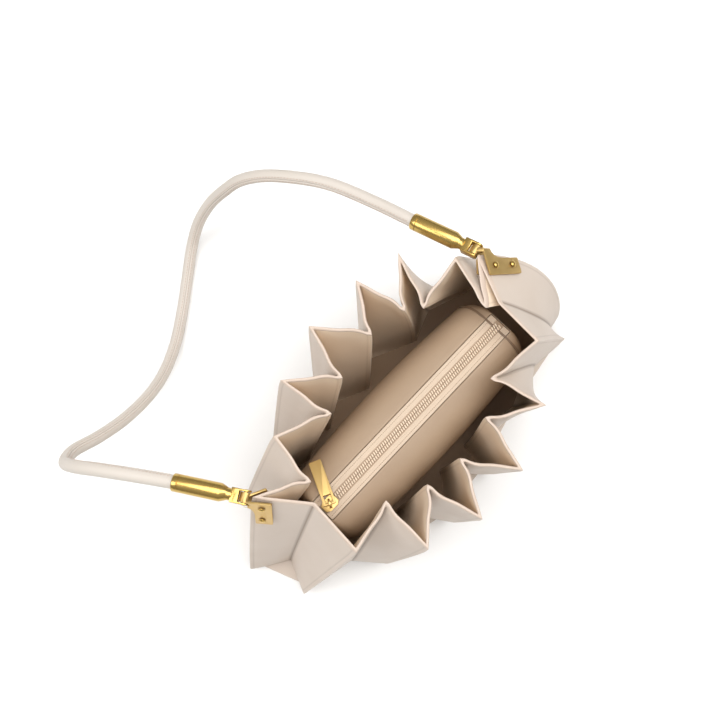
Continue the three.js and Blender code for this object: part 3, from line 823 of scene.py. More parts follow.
@dataclass(frozen=True)
class FoldedWall:
    """The folded leather wall, its lining and the painted edge along its rim."""

    height: float = 0.160
    corner_radius: float = 0.016
    shares: tuple[float, ...] = (0.2, 0.36, 0.45, 0.54, 0.62, 0.7, 0.78, 0.9)
    pinch: float = 0.6
    pinch_stretch: Pair = (0.45, 0.78)
    half_gap: float = 0.0025
    pinch_angles: Pair = (0.5, 0.95)
    longest_mitre: float = 1.6
    least_slant: float = 0.05
    near_fold: tuple[float, ...] = (0.0012, 0.0027, 0.0033, 0.0039)
    pressed_line: int = 3
    pressed_depth: float = 0.0002
    # Painted shade: its share in the pressed lines, and in the inward folds by points from the fold
    pressed_shade: float = 0.3
    crease_shades: tuple[float, ...] = (1.0, 0.45)
    panel_shares: tuple[float, ...] = (0.17, 0.34, 0.5, 0.66, 0.83)
    levels: tuple[float, ...] = (
        0.0031, 0.0042, 0.0058, 0.008, 0.0105, 0.0135, 0.017, 0.0215, 0.029, 0.041, 0.058, 0.08, 0.1,
        0.116, 0.128, 0.137, 0.144, 0.1495, 0.1535, 0.1565, 0.1588,
    )
    leather: Pair = (0.0003, 0.0018)
    lining: Pair = (-0.0013, -0.0003)
    # The painted edge's section: distance out from the middle of the wall, and height
    rim: tuple[Pair, ...] = (
        (0.00140, 0.1578), (0.00148, 0.1594), (0.00105, 0.1603), (0.0002, 0.1606), (-0.00065, 0.1603),
        (-0.00105, 0.1594), (-0.0010, 0.1578),
    )
    # The wall's faces come this much closer together at the rim
    rim_taper: float = 0.0004
    rim_stretch: Pair = (0.150, 0.1588)
    floor_levels: Pair = (0.0031, 0.0037)

    def leaning(self, foot: Pair, rim: Pair, leans: Pair, z: float) -> Vector:
        """The place at a height of a fold that runs from its foot up to the rim."""
        shares = [(z / self.height) ** lean for lean in leans]
        return Vector([low + (high - low) * share for low, high, share in zip(foot, rim, shares)])

    def valley_at(self, index: int, z: float) -> Vector:
        """The place of an inward fold at a height."""
        fold = FOLDS[index % len(FOLDS)]
        return self.leaning(fold.hollow, fold.valley, fold.valley_lean, z)

    def ridge_at(self, index: int, z: float) -> Vector:
        """Finds the place of an outward fold at a height, with its lower corner rounded.

        Args:
            index: the fold's number.
            z: the height.

        Returns:
            The place, in plan.
        """
        fold = FOLDS[index % len(FOLDS)]
        place = self.leaning(fold.foot, fold.ridge, fold.ridge_lean, z)
        below = max(0.0, self.corner_radius - z)
        inset = self.corner_radius - math.sqrt(self.corner_radius**2 - below**2)
        inward = (self.valley_at(index, z) + self.valley_at(index - 1, z)) / 2 - place
        return place + inward.normalized() * inset

    def panel_point(self, ridge: Vector, valley: Vector, other: Vector, share: float) -> Vector:
        """A point of a panel, pinched towards the middle of its valley.

        Args:
            ridge: the panel's outward fold.
            valley: its inward fold.
            other: the outward fold on the far side of the valley.
            share: how far the point is from the ridge to the valley.

        Returns:
            The point, in plan.
        """
        arm = (ridge - valley).normalized()
        halving = (arm + (other - valley).normalized()).normalized()
        half_angle = math.acos(max(-1.0, min(1.0, arm.dot(halving))))
        narrow = 1 - smoothstep(half_angle, *self.pinch_angles)
        pinch = 1 - (1 - self.pinch) * narrow * smoothstep(share, *self.pinch_stretch)
        offset = ridge.lerp(valley, share) - valley
        along = offset.dot(halving)
        side = offset - halving * along
        width = max(side.length * pinch, min(self.half_gap, side.length * 2))
        return valley + halving * along + side.normalized() * width

    def middle(self, z: float) -> tuple[Ring, list[int]]:
        """Draws the wall's middle line at a height.

        Args:
            z: the height.

        Returns:
            The line, in plan, and the numbers of its folds' points, outward and inward in turn.
        """
        ring: Ring = []
        corners: list[int] = []
        for index in range(len(FOLDS)):
            ridge, valley = self.ridge_at(index, z), self.valley_at(index, z)
            after = self.ridge_at(index + 1, z)
            corners.append(len(ring))
            ring.append(ridge)
            ring += [self.panel_point(ridge, valley, after, share) for share in self.shares]
            corners.append(len(ring))
            ring.append(valley)
            ring += [self.panel_point(after, valley, ridge, share) for share in reversed(self.shares)]
        return ring, corners

    def moved(self, ring: Ring, distance: float) -> Ring:
        """Moves a ring outwards, with full mitres in inner corners and short ones outside.

        Args:
            ring: the ring, in plan.
            distance: how far it moves, inwards where this is negative.

        Returns:
            The moved ring.
        """
        out = []
        for index, point in enumerate(ring):
            first = (point - ring[index - 1]).normalized()
            second = (ring[(index + 1) % len(ring)] - point).normalized()
            mitre = Vector((first.y + second.y, -first.x - second.x)).normalized()
            slant = max(self.least_slant, mitre.x * first.y - mitre.y * first.x)
            outer = first.cross(second) * distance > 0
            reach = min(self.longest_mitre, 1 / slant) if outer else 1 / slant
            out.append(point + mitre * distance * reach)
        return out

    def stations(self, length: float) -> list[float]:
        """Spaces distances along a panel: close together by both folds, and even between them.

        Args:
            length: the panel's length.

        Returns:
            The distances, from the panel's start to just before its end.
        """
        start, end = self.near_fold[-1], length - self.near_fold[-1]
        between = [start + (end - start) * share for share in self.panel_shares]
        return [0.0, *self.near_fold, *between, *(length - near for near in reversed(self.near_fold))]

    def surface(self, z: float, distance: float, pressed: Turn | None = None) -> Ring:
        """One ring of a surface of the wall.

        Args:
            z: the ring's height.
            distance: how far the surface is out from the wall's middle.
            pressed: the folds that lines are pressed beside, if any.

        Returns:
            The ring's points.
        """
        ring, corners = self.middle(z)
        ring = self.moved(ring, distance)
        flat: Ring = []
        for number, start in enumerate(corners):
            end = corners[number + 1] if number + 1 < len(corners) else len(ring)
            panel = [*ring[start:end], ring[end % len(ring)]]
            flat += along_path(panel, self.stations(path_length(panel)))
        lines = self.corner_marks(pressed, {self.pressed_line: 1.0})
        placed: Ring = []
        for index, point in enumerate(flat):
            along = (flat[(index + 1) % len(flat)] - flat[index - 1]).normalized()
            inward = Vector((-along.y, along.x)) * (1 if distance > 0 else -1)
            place = point + inward * lines[index] * self.pressed_depth
            placed.append(Vector((place.x, place.y, z)))
        return placed

    def corner_marks(self, which: Turn | None, values: dict[int, float]) -> list[float]:
        """Marks points near some of a ring's folds.

        Args:
            which: the folds that are marked, if any.
            values: the mark for each number of points from the fold, on both sides of it.

        Returns:
            A mark for each point of the ring, 0 where nothing is marked.
        """
        size = len(self.stations(1.0))
        marks = [0.0] * (size * 2 * len(FOLDS))
        for corner in range(2 * len(FOLDS)):
            if which is (Turn.OUTWARD if corner % 2 == 0 else Turn.INWARD):
                for steps, value in values.items():
                    marks[corner * size + steps] = marks[corner * size - steps] = value
        return marks

    def layer(
        self, name: str, faces: Pair, pressed: Turn, material: bpy.types.Material, slot: Slot
    ) -> None:
        """Builds one layer of the wall.

        Args:
            name: the solid that the layer stands for.
            faces: how far its inner and outer faces are out from the wall's middle.
            pressed: the folds that stand out on the face that shows, and so have pressed lines beside them.
            material: its finish.
            slot: its slot; not used.
        """
        inner, outer = faces
        outside = pressed is Turn.OUTWARD
        lines_out, lines_in = (pressed, None) if outside else (None, pressed)
        up = [self.surface(z, self.tapered(outer, z), lines_out) for z in self.levels]
        down = [self.surface(z, self.tapered(inner, z), lines_in) for z in reversed(self.levels)]
        plain = [0.0] * len(up[0])
        # Painted shade darkens the pressed lines and the inward folds of the face that shows
        lines = self.corner_marks(pressed, {self.pressed_line: self.pressed_shade})
        hollow = Turn.INWARD if outside else Turn.OUTWARD
        crease_shading = self.corner_marks(hollow, dict(enumerate(self.crease_shades)))
        dark = [max(pair) for pair in zip(lines, crease_shading)]
        # The outward fold tips of the face that shows are lighter, partly for wear and partly as a painted
        # highlight
        light = self.corner_marks(pressed, {0: 1.0})
        shown = [outside] * len(up) + [not outside] * len(down)
        marks = {
            Mark.CREASE: [dark if show else plain for show in shown],
            Mark.EDGE: [light if show else plain for show in shown],
        }
        add_piece(f"{name}_leather", loft(up + down, True, marks), material, [name], subdivisions=1)

    def tapered(self, distance: float, z: float) -> float:
        """A face's distance from the wall's middle, a little less at the rim."""
        taper = self.rim_taper * smoothstep(z, *self.rim_stretch)
        return math.copysign(max(abs(distance) - taper, abs(distance) / 2), distance)

    def build(self, finishes: Finishes) -> None:
        """Builds both layers, the painted edge and the lined floor inside.

        Args:
            finishes: the bag's finishes.
        """
        self.layer("pleated_body", self.leather, Turn.OUTWARD, finishes.cream, Slot.CREAM_LEATHER)
        self.layer("lining", self.lining, Turn.INWARD, finishes.tan, Slot.TAN_LINING)
        edge = loft([self.surface(z, out) for out, z in self.rim], True)
        add_piece("painted_rim", edge, finishes.paint, subdivisions=1)
        # The lined floor wears the lining's leather darkened as painted shade
        low, high = self.floor_levels
        outline = [(point.x, point.y) for point in self.surface(high, self.lining[0])]
        add_piece("lining_floor", extruded(outline, low, high), finishes.floor, sharp=30.0)


@dataclass(frozen=True)
class BasePanel:
    """The flat bottom, cut straight from foot to foot just inside the folds, and tucked in at one place."""

    thickness: float = 0.003
    inset: float = 0.007
    corner: float = 0.004
    rounding: float = 0.001
    # The tuck lies between this foot and the next one
    tuck_after: int = 1
    tuck: Pair = (-0.112, -0.046)

    def build(self, finishes: Finishes) -> None:
        """Builds the panel.

        Args:
            finishes: the bag's finishes.
        """
        feet = [Vector(fold.foot) for fold in FOLDS]
        edge = [foot * (1 - self.inset / foot.length) for foot in feet]
        edge.insert(self.tuck_after + 1, Vector(self.tuck))
        slab = extruded([(point.x, point.y) for point in edge], 0.0, self.thickness)
        upright = [e for e in slab.edges if abs(e.verts[0].co.z - e.verts[1].co.z) > self.thickness / 2]
        bmesh.ops.bevel(
            slab, geom=upright, offset=self.corner, affect="EDGES", segments=4, profile=0.5, material=-1
        )
        round_edges(slab, self.rounding, segments=3, angle=60.0)
        add_piece("base_leather", slab, finishes.cream, ["base_panel"], sharp=40.0)


# Zipped pouch


@dataclass(frozen=True)
class PouchLevel:
    """One level of the pouch."""

    z: float
    half_width: float
    half_length: float
    corner: float


@dataclass(frozen=True)
class ZippedPouch:
    """The tan pouch down the middle, with its zip."""

    place: Point = (-0.001, -0.004, 0.0)
    turn: float = 0.045
    wall: float = 0.0014
    bow: float = 0.0035
    least_corner: float = 0.0008
    corner_steps: int = 6
    bow_steps: int = 7
    levels: tuple[PouchLevel, ...] = (
        PouchLevel(0.0033, 0.033, 0.099, 0.015),
        PouchLevel(0.020, 0.033, 0.099, 0.015),
        PouchLevel(0.060, 0.0335, 0.099, 0.015),
        PouchLevel(0.090, 0.0332, 0.0988, 0.015),
        PouchLevel(0.105, 0.0323, 0.0984, 0.015),
        PouchLevel(0.117, 0.0297, 0.0975, 0.014),
        PouchLevel(0.126, 0.0252, 0.0965, 0.012),
        PouchLevel(0.1318, 0.019, 0.0955, 0.008),
        PouchLevel(0.1340, 0.0125, 0.0946, 0.004),
        PouchLevel(0.1346, 0.0103, 0.0941, 0.0015),
        PouchLevel(0.1344, 0.0096, 0.0940, 0.001),
    )
    # The bow's share at the uppermost levels, where the wall thins to a lip
    top_bows: tuple[float, ...] = (0.8, 0.35, 0.1, 0.0)
    lip: float = 0.0002
    # The inner wall's rings above these lie lower than the outer ones, by the wall's thickness
    standing_rings: int = 2
    tape_half_length: float = 0.0934
    tape_inner: float = 0.0034
    tape_outer: float = 0.0092
    tape_bottom: float = 0.1329
    tape_thickness: float = 0.001
    tape_rounding: float = 0.00015
    # The cord along a tape's inner edge: where it lies across the tape, its rise and the drop beside the coil
    cord_shares: tuple[float, ...] = (0.3, 0.22, 0.1)
    cord_rise: float = 0.00025
    cord_drop: float = 0.0002
    chain: Pair = (-0.0802, 0.092)
    coil_pitch: float = 0.0019
    coil_size: Point = (0.00105, 0.0026, 0.0016)
    coil_gap: float = 0.0003
    coil_slant: float = 0.3
    coil_rounding: float = 0.0003
    core_half_width: float = 0.0035
    core_levels: Pair = (0.1327, 0.1336)
    coil_height: float = 0.1342
    stitch_out: float = 0.0107
    stitch_height: float = 0.1342
    stitch_ends: Pair = (-0.092, 0.088)
    stitch_pitch: float = 0.003
    stitch_length: float = 0.0023
    stitch_radius: float = 0.00028
    # A fine line sewn along each tape
    line_out: float = 0.0070
    line_height: float = 0.1339
    line_pitch: float = 0.0016
    line_length: float = 0.0014
    line_radius: float = 0.00016
    band: Pair = (0.0872, 0.0888)
    band_rise: float = 0.0006
    # The seam's band runs over these of the pouch's levels
    band_levels: tuple[int, int] = (4, 9)

    @property
    def matrix(self) -> Matrix:
        """The pouch's place in the bag."""
        return Matrix.Translation(self.place) @ Matrix.Rotation(self.turn, 4, "Z")

    def ring(self, level: PouchLevel, inset: float = 0.0, drop: float = 0.0, bow: float = 1.0) -> Ring:
        """One ring of the pouch: a rounded rectangle with bowed sides.

        Args:
            level: the ring's level.
            inset: how far it lies inside the level's outline.
            drop: how far it lies below the level.
            bow: the share of the full bow.

        Returns:
            The ring's points.
        """
        width, length = level.half_width - inset, level.half_length - inset
        corner = max(self.least_corner, level.corner - inset)
        points: Ring = []
        for quarter, (side_x, side_y) in enumerate(((1, 1), (-1, 1), (-1, -1), (1, -1))):
            centre = Vector((side_x * (length - corner), side_y * (width - corner)))
            for step in range(self.corner_steps + 1):
                angle = (quarter + step / self.corner_steps) * math.pi / 2
                points.append(centre + Vector((math.cos(angle), math.sin(angle))) * corner)
            if quarter % 2 == 0:
                for step in range(1, self.bow_steps + 1):
                    share = 2 * step / (self.bow_steps + 1) - 1
                    out = width + self.bow * bow * (1 - share**2)
                    points.append(Vector((-side_x * share * (length - corner), side_y * out)))
        return [self.matrix @ Vector((point.x, point.y, level.z - drop)) for point in points]

    def build(self, finishes: Finishes) -> None:
        """Builds the pouch, its seams and its zip.

        Args:
            finishes: the bag's finishes.
        """
        full = len(self.levels) - len(self.top_bows)
        outer, inner = [], []
        for number, (level, share) in enumerate(zip(self.levels, [1.0] * full + [*self.top_bows])):
            outer.append(self.ring(level, bow=share))
            inset = self.wall if number < full else self.lip
            drop = self.wall if number >= self.standing_rings else 0.0
            inner.append(self.ring(level, inset, drop, share))
        shell = loft(outer + inner[::-1], True)
        add_piece("pouch_leather", shell, finishes.pouch, ["pouch"], subdivisions=2)
        self.build_tapes(finishes)
        self.build_coil(finishes)
        self.build_seams(finishes)

    def build_tapes(self, finishes: Finishes) -> None:
        """Builds the two woven tapes, each with a raised cord beside the coil.

        Args:
            finishes: the bag's finishes.
        """
        width = self.tape_outer - self.tape_inner
        top = self.tape_bottom + self.tape_thickness
        outside, crest, inside = (self.tape_inner + share * width for share in self.cord_shares)
        for name, side in (("zip_tape_far", 1), ("zip_tape_near", -1)):
            section = [
                (self.tape_inner, self.tape_bottom),
                (self.tape_outer, self.tape_bottom),
                (self.tape_outer, top),
                (outside, top),
                (crest, top + self.cord_rise),
                (inside, top + self.cord_rise),
                (self.tape_inner, top - self.cord_drop),
            ]
            ends = [
                [self.matrix @ Vector((x, side * out, z)) for out, z in section]
                for x in (-self.tape_half_length, self.tape_half_length)
            ]
            strip = loft(ends)
            round_edges(strip, self.tape_rounding, segments=2, angle=20.0)
            add_piece(f"{name}_woven", strip, finishes.tape, [name], sharp=50.0)

    def build_coil(self, finishes: Finishes) -> None:
        """Builds the two rows of the coil's slanted loops over a flat core.

        Args:
            finishes: the bag's finishes.
        """
        start, end = self.chain
        half, reach = self.core_half_width, self.tape_half_length
        outline = [(-reach, -half), (reach, -half), (reach, half), (-reach, half)]
        core = extruded(outline, *self.core_levels)
        loops = bmesh.new()
        for number in range(int((end - start) / self.coil_pitch)):
            for side in (1, -1):
                x = start + (number + (0.5 if side > 0 else 1.0)) * self.coil_pitch
                out = self.coil_gap / 2 + self.coil_size[1] / 2
                place = Matrix.Translation((x, side * out, self.coil_height))
                turned = place @ Matrix.Rotation(-self.coil_slant, 4, "Z")
                sized = turned @ Matrix.Diagonal((*self.coil_size, 1.0))
                bmesh.ops.create_cube(loops, size=1.0, matrix=sized)
        round_edges(loops, self.coil_rounding, segments=1, angle=60.0)
        for part in (core, loops):
            bmesh.ops.transform(part, matrix=self.matrix, verts=part.verts)
        # The core wears the darker pouch leather as painted shade between the coil's loops
        add_piece("zip_core", core, finishes.pouch, sharp=50.0)
        add_piece("zip_coil", loops, finishes.coil, ["zip_chain"], sharp=50.0)

    def build_seams(self, finishes: Finishes) -> None:
        """Builds the stitches beside the zip and the seam across the pouch's right end.

        Args:
            finishes: the bag's finishes.
        """
        wide = (self.stitch_pitch, self.stitch_length, self.stitch_radius)
        fine = (self.line_pitch, self.line_length, self.line_radius)
        for name, out, height, sizes in (
            ("zip_stitches", self.stitch_out, self.stitch_height, wide),
            ("tape_stitches", self.line_out, self.line_height, fine),
        ):
            rows = []
            for side in (1, -1):
                line = [self.matrix @ Vector((x, side * out, height)) for x in self.stitch_ends]
                rows.append(stitch_row(line, upwards, *sizes))
            add_piece(name, joined(rows), finishes.tan_thread)
        start, end = self.band
        corners = ((start, 0.0), (start, self.band_rise), (end, self.band_rise), (end, 0.0))
        rings = [[self.matrix @ point for point in self.arch(x, rise)] for x, rise in corners]
        arches = [list(points) for points in zip(*rings)]
        dark = {Mark.CREASE: [[1.0] * len(corners)] * len(arches)}
        add_piece("pouch_end_seam", loft(arches, marks=dark), finishes.pouch, sharp=50.0)

    def arch(self, x: float, rise: float) -> list[Vector]:
        """Draws the pouch's outer arch at a place along it.

        Args:
            x: the place along the pouch.
            rise: how far the arch is raised.

        Returns:
            The arch's points, from the pouch's far side to its near one.
        """
        half = []
        for level in self.levels[slice(*self.band_levels)]:
            over = max(0.0, x - (level.half_length - level.corner))
            width = level.half_width - level.corner + math.sqrt(max(0.0, level.corner**2 - over**2))
            half.append((width + rise, level.z + rise))
        far = [Vector((x, width, z)) for width, z in half]
        near = [Vector((x, -width, z)) for width, z in reversed(half)]
        return far + near


# Gold fittings


def solid_copy(node: str) -> bmesh.types.BMesh:
    """Copies a solid, with its triangles merged and its flat faces whole.

    Args:
        node: the solid's name.

    Returns:
        The copy.
    """
    bm = bmesh.new()
    bm.from_mesh(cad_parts[node].data)
    bmesh.ops.remove_doubles(bm, verts=bm.verts, dist=MERGE_DISTANCE)
    bmesh.ops.dissolve_limit(bm, angle_limit=math.radians(1.0), verts=bm.verts, edges=bm.edges)
    return bm


@dataclass(frozen=True)
class StrapEnd:
    """One end of the strap: its side of the bag, its hinge pin and the mouth of its ferrule."""

    side: str
    pin: Point
    mouth: Point


STRAP_ENDS = (
    StrapEnd("left", (-0.1263, 0.0348, 0.1565), (-0.155, 0.077, 0.151)),
    StrapEnd("right", (0.111, 0.0495, 0.1565), (0.098, 0.098, 0.142)),
)


@dataclass(frozen=True)
class GoldFittings:
    """The metal ends of the strap and of the zip."""

    fork_half_width: float = 0.0053
    slot_half_width: float = 0.0038
    slot_end: float = 0.0041
    fork_radius: float = 0.00375
    fork_end: float = 0.0096
    fork_rounding: float = 0.0036
    fork_edge: float = 0.0004
    neck_radius: float = 0.0043
    neck: Pair = (0.0088, 0.0128)
    shoulder: float = 0.0165
    radius: float = 0.0064
    bore: float = 0.0056
    socket: float = 0.008
    pin_radius: float = 0.0015
    pin_half_length: float = 0.0055
    pin_dome: float = 0.0002
    pin_flat_share: float = 0.8
    # The turned line's distance from the sleeve's mouth, and the softening of every turned edge
    line_from_mouth: float = 0.0042
    turned_edge: float = 0.0003
    neck_edge: float = 0.0004
    shoulder_edge: float = 0.0008
    # Where the lip starts to roll in and where it ends, from the mouth
    lip: Pair = (0.0006, 0.0001)
    screw_places: Pair = (0.007, 0.023)
    screw_radius: float = 0.0013
    screw_dome_share: float = 0.55
    screw_steps: int = 5
    screw_sunk: float = 0.0004
    # How far round the sleeve the screws are
    screw_turn: float = 2.5
    plate_rounding: float = 0.00035
    slider_rounding: float = 0.0003
    pull_rounding: float = 0.0004

    def build(self, finishes: Finishes) -> None:
        """Builds every fitting.

        Args:
            finishes: the bag's finishes.
        """
        for end in STRAP_ENDS:
            self.build_ferrule(end, finishes)
            self.build_plate(end, finishes)
        self.finish_solid("zip_slider", finishes, self.slider_rounding)
        self.finish_solid("zip_pull", finishes, self.pull_rounding, Body.PULL)

    def finish_solid(self, node: str, finishes: Finishes, rounding: float, body: Body = Body.BAG) -> None:
        """Rounds the edges of a solid's copy and shows it in the solid's place.

        Args:
            node: the solid's name.
            finishes: the bag's finishes.
            rounding: the width of its rounded edges.
            body: the body that it rides on.
        """
        bm = solid_copy(node)
        round_edges(bm, rounding, segments=3, angle=35.0)
        add_piece(f"{node}_gold", bm, finishes.satin, [node], body, sharp=35.0)

    def build_plate(self, end: StrapEnd, finishes: Finishes) -> None:
        """Builds an end's plate and its domed rivets.

        Args:
            end: the strap's end.
            finishes: the bag's finishes.
        """
        self.finish_solid(f"strap_plate_{end.side}", finishes, self.plate_rounding)
        for face in ("front", "back"):
            for number in (1, 2):
                node = f"rivet_{end.side}_{face}_{number}"
                head = solid_copy(node)
                add_piece(f"{node}_gold", head, finishes.gold, [node], subdivisions=2)

    def build_ferrule(self, end: StrapEnd, finishes: Finishes) -> None:
        """Builds an end's fork, sleeve, screws and hinge pin.

        Args:
            end: the strap's end.
            finishes: the bag's finishes.
        """
        pin, mouth = Vector(end.pin), Vector(end.mouth)
        outward = mouth - pin
        length = outward.length
        place = basis(pin, outward, Vector((0, 0, 1)))
        parts = [self.fork(), self.sleeve(length)]
        for distance in self.screw_places:
            parts.append(self.screw(length - distance))
        ferrule = joined(parts)
        bmesh.ops.transform(ferrule, matrix=place, verts=ferrule.verts)
        node = f"ferrule_{end.side}"
        add_piece(f"{node}_gold", ferrule, finishes.gold, [node], sharp=40.0)
        half, radius, dome = self.pin_half_length, self.pin_radius, self.pin_dome
        head = [(half - dome, radius), (half, radius * self.pin_flat_share), (half + dome, 0.0)]
        rod = spun([*((-x, r) for x, r in reversed(head)), *head], steps=24)
        turned = place @ Matrix.Rotation(math.pi / 2, 4, "Z")
        bmesh.ops.transform(rod, matrix=turned, verts=rod.verts)
        node = f"hinge_pin_{end.side}"
        add_piece(f"{node}_gold", rod, finishes.gold, [node], sharp=40.0)

    def fork(self) -> bmesh.types.BMesh:
        """Builds the fork, with round prong ends.

        Returns:
            The fork, round its hinge at the origin.
        """
        tip, wide, narrow = -self.fork_radius, self.fork_half_width, self.slot_half_width
        outline = [
            (tip, -wide), (self.fork_end, -wide), (self.fork_end, wide), (tip, wide),
            (tip, narrow), (self.slot_end, narrow), (self.slot_end, -narrow), (tip, -narrow),
        ]
        bm = extruded(outline, -self.fork_radius, self.fork_radius)
        tips = [e for e in bm.edges if all(v.co.x < tip + MERGE_DISTANCE for v in e.verts)]
        level = [e for e in tips if abs(e.verts[0].co.z - e.verts[1].co.z) < MERGE_DISTANCE]
        bmesh.ops.bevel(
            bm, geom=level, offset=self.fork_rounding, affect="EDGES", segments=8, profile=0.5, material=-1
        )
        round_edges(bm, self.fork_edge, segments=2, angle=50.0)
        return bm

    def sleeve(self, length: float) -> bmesh.types.BMesh:
        """Builds the round sleeve: neck, shoulder, a turned line and a rolled lip round the strap's socket.

        Args:
            length: the distance from the hinge to the sleeve's mouth.

        Returns:
            The sleeve, along X from its hinge.
        """
        start, neck_end = self.neck
        line = length - self.line_from_mouth
        soft = self.turned_edge
        lip_start, lip_end = self.lip
        profile = [
            (start, 0.0),
            (start, self.neck_radius),
            (neck_end - self.neck_edge, self.neck_radius),
            (neck_end, self.neck_radius + soft),
            (self.shoulder, self.radius - soft),
            (self.shoulder + self.shoulder_edge, self.radius),
            (line - soft, self.radius),
            (line, self.radius - soft),
            (line + soft, self.radius),
            (length - lip_start, self.radius),
            (length - lip_end, self.radius - soft),
            (length, self.bore + soft),
            (length - soft, self.bore),
            (length - self.socket, self.bore),
            (length - self.socket, 0.0),
        ]
        return spun(profile)

    def screw(self, along: float) -> bmesh.types.BMesh:
        """Builds a small domed screw head on the sleeve's outer side.

        Args:
            along: its distance from the hinge.

        Returns:
            The screw's head, in its place on the sleeve.
        """
        dome = self.screw_radius * self.screw_dome_share
        profile = [(-self.screw_sunk, 0.0), (-self.screw_sunk, self.screw_radius)]
        for step in range(self.screw_steps):
            angle = step / self.screw_steps * math.pi / 2
            profile.append((dome * math.sin(angle), self.screw_radius * math.cos(angle)))
        head = spun([*profile, (dome, 0.0)], steps=16)
        place = Matrix.Translation((along, 0.0, 0.0)) @ Matrix.Rotation(self.screw_turn, 4, "X")
        lifted = place @ Matrix.Translation((0.0, 0.0, self.radius)) @ Matrix.Rotation(-math.pi / 2, 4, "Y")
        bmesh.ops.transform(head, matrix=lifted, verts=head.verts)
        return head


# Rolled strap


@dataclass(frozen=True)
class RolledStrap:
    """The rolled leather strap with its seam and two rows of stitches."""

    radius: float = 0.005
    socket_depth: float = 0.0077
    ring_step: float = 0.0025
    curve_steps: int = 8
    # Towards this point the seam faces: up, and into the strap's own loop
    seam_faces: Point = (-0.045, 0.145, 0.20)
    # Angles round the section from the seam, and how far each lies inside the round
    section: tuple[Pair, ...] = (
        (0.0, 0.0006), (0.05, 0.0003), (0.11, 0.0), (0.24, -0.0001), (0.34, 0.0001), (0.46, 0.0), (0.7, 0.0),
        (1.0, 0.0), (1.35, 0.0), (1.7, 0.0), (2.05, 0.0), (2.4, 0.0), (2.75, 0.0), (3.1, 0.0),
    )
    stitch_angle: float = 0.34
    stitch_pitch: float = 0.0026
    stitch_length: float = 0.0019
    stitch_radius: float = 0.0003
    # The rings at each end that bear no stitches
    bare_rings: int = 4
    route: tuple[Point, ...] = (
        (-0.155, 0.077, 0.151), (-0.172, 0.100, 0.147), (-0.188, 0.121, 0.139), (-0.201, 0.138, 0.126),
        (-0.206, 0.148, 0.111), (-0.199, 0.154, 0.095), (-0.182, 0.153, 0.079), (-0.160, 0.154, 0.059),
        (-0.134, 0.160, 0.036), (-0.112, 0.170, 0.018), (-0.088, 0.185, 0.008), (-0.062, 0.205, 0.0053),
        (-0.038, 0.225, 0.0053), (-0.020, 0.238, 0.012), (-0.005, 0.243, 0.029), (0.010, 0.240, 0.055),
        (0.023, 0.231, 0.082), (0.034, 0.223, 0.099), (0.047, 0.209, 0.113), (0.062, 0.188, 0.123),
        (0.076, 0.164, 0.130), (0.089, 0.129, 0.136), (0.098, 0.098, 0.142),
    )

    def path(self) -> list[Vector]:
        """Draws the strap's middle line, from inside one ferrule to inside the other.

        Returns:
            Its points, evenly spaced.
        """
        first, last = (
            Vector(end.mouth) - (Vector(end.mouth) - Vector(end.pin)).normalized() * self.socket_depth
            for end in STRAP_ENDS
        )
        drawn = smooth_path([first, *map(Vector, self.route), last], self.curve_steps)
        length = path_length(drawn)
        count = round(length / self.ring_step)
        return along_path(drawn, [length * step / count for step in range(count + 1)])

    def seam(self, place: Vector, along: Vector) -> Vector:
        """Finds the direction that the seam faces at a place on the strap.

        Args:
            place: a point of the strap or of its middle line.
            along: the strap's direction there.

        Returns:
            The direction, square to the strap.
        """
        forward = along.normalized()
        faces = Vector(self.seam_faces) - place
        return (faces - forward * faces.dot(forward)).normalized()

    def skin(self, place: Vector, along: Vector, angle: float, inset: float = 0.0) -> Vector:
        """A point of the strap's surface.

        Args:
            place: the middle of the strap there.
            along: the strap's direction there.
            angle: the point's angle round the strap from its seam.
            inset: how far it lies inside the round.

        Returns:
            The point.
        """
        seam = self.seam(place, along)
        side = along.normalized().cross(seam)
        return place + (seam * math.cos(angle) + side * math.sin(angle)) * (self.radius - inset)

    def build(self, finishes: Finishes) -> None:
        """Args:
            finishes: the bag's finishes.
        """
        path = self.path()
        angles = [*self.section, *((-angle, inset) for angle, inset in reversed(self.section[1:]))]
        rings, rows = [], ([], [])
        for number, place in enumerate(path):
            along = path[min(number + 1, len(path) - 1)] - path[max(number - 1, 0)]
            rings.append([self.skin(place, along, angle, inset) for angle, inset in angles])
            for row, sign in zip(rows, (1, -1)):
                row.append(self.skin(place, along, sign * self.stitch_angle))
        # Painted shade along the seam's groove
        crease = [1.0 if angle == 0.0 else 0.0 for angle, _ in angles]
        marks = {Mark.CREASE: [crease] * len(rings), Mark.EDGE: [[0.0] * len(angles)] * len(rings)}
        tube = loft(rings, marks=marks)
        strap = add_piece(
            "strap_leather", tube, finishes.strap, ["strap"], subdivisions=1
        )
        sizes = (self.stitch_pitch, self.stitch_length, self.stitch_radius)
        made = [stitch_row(row[self.bare_rings : -self.bare_rings], self.seam, *sizes) for row in rows]
        stitches = add_piece("strap_stitches", joined(made), finishes.pale_thread)


# Studio


@dataclass(frozen=True)
class SoftLight:
    """A square soft light: where it stands, the length of its sides and its power in watts."""

    name: str
    place: Point
    size: float
    power: float


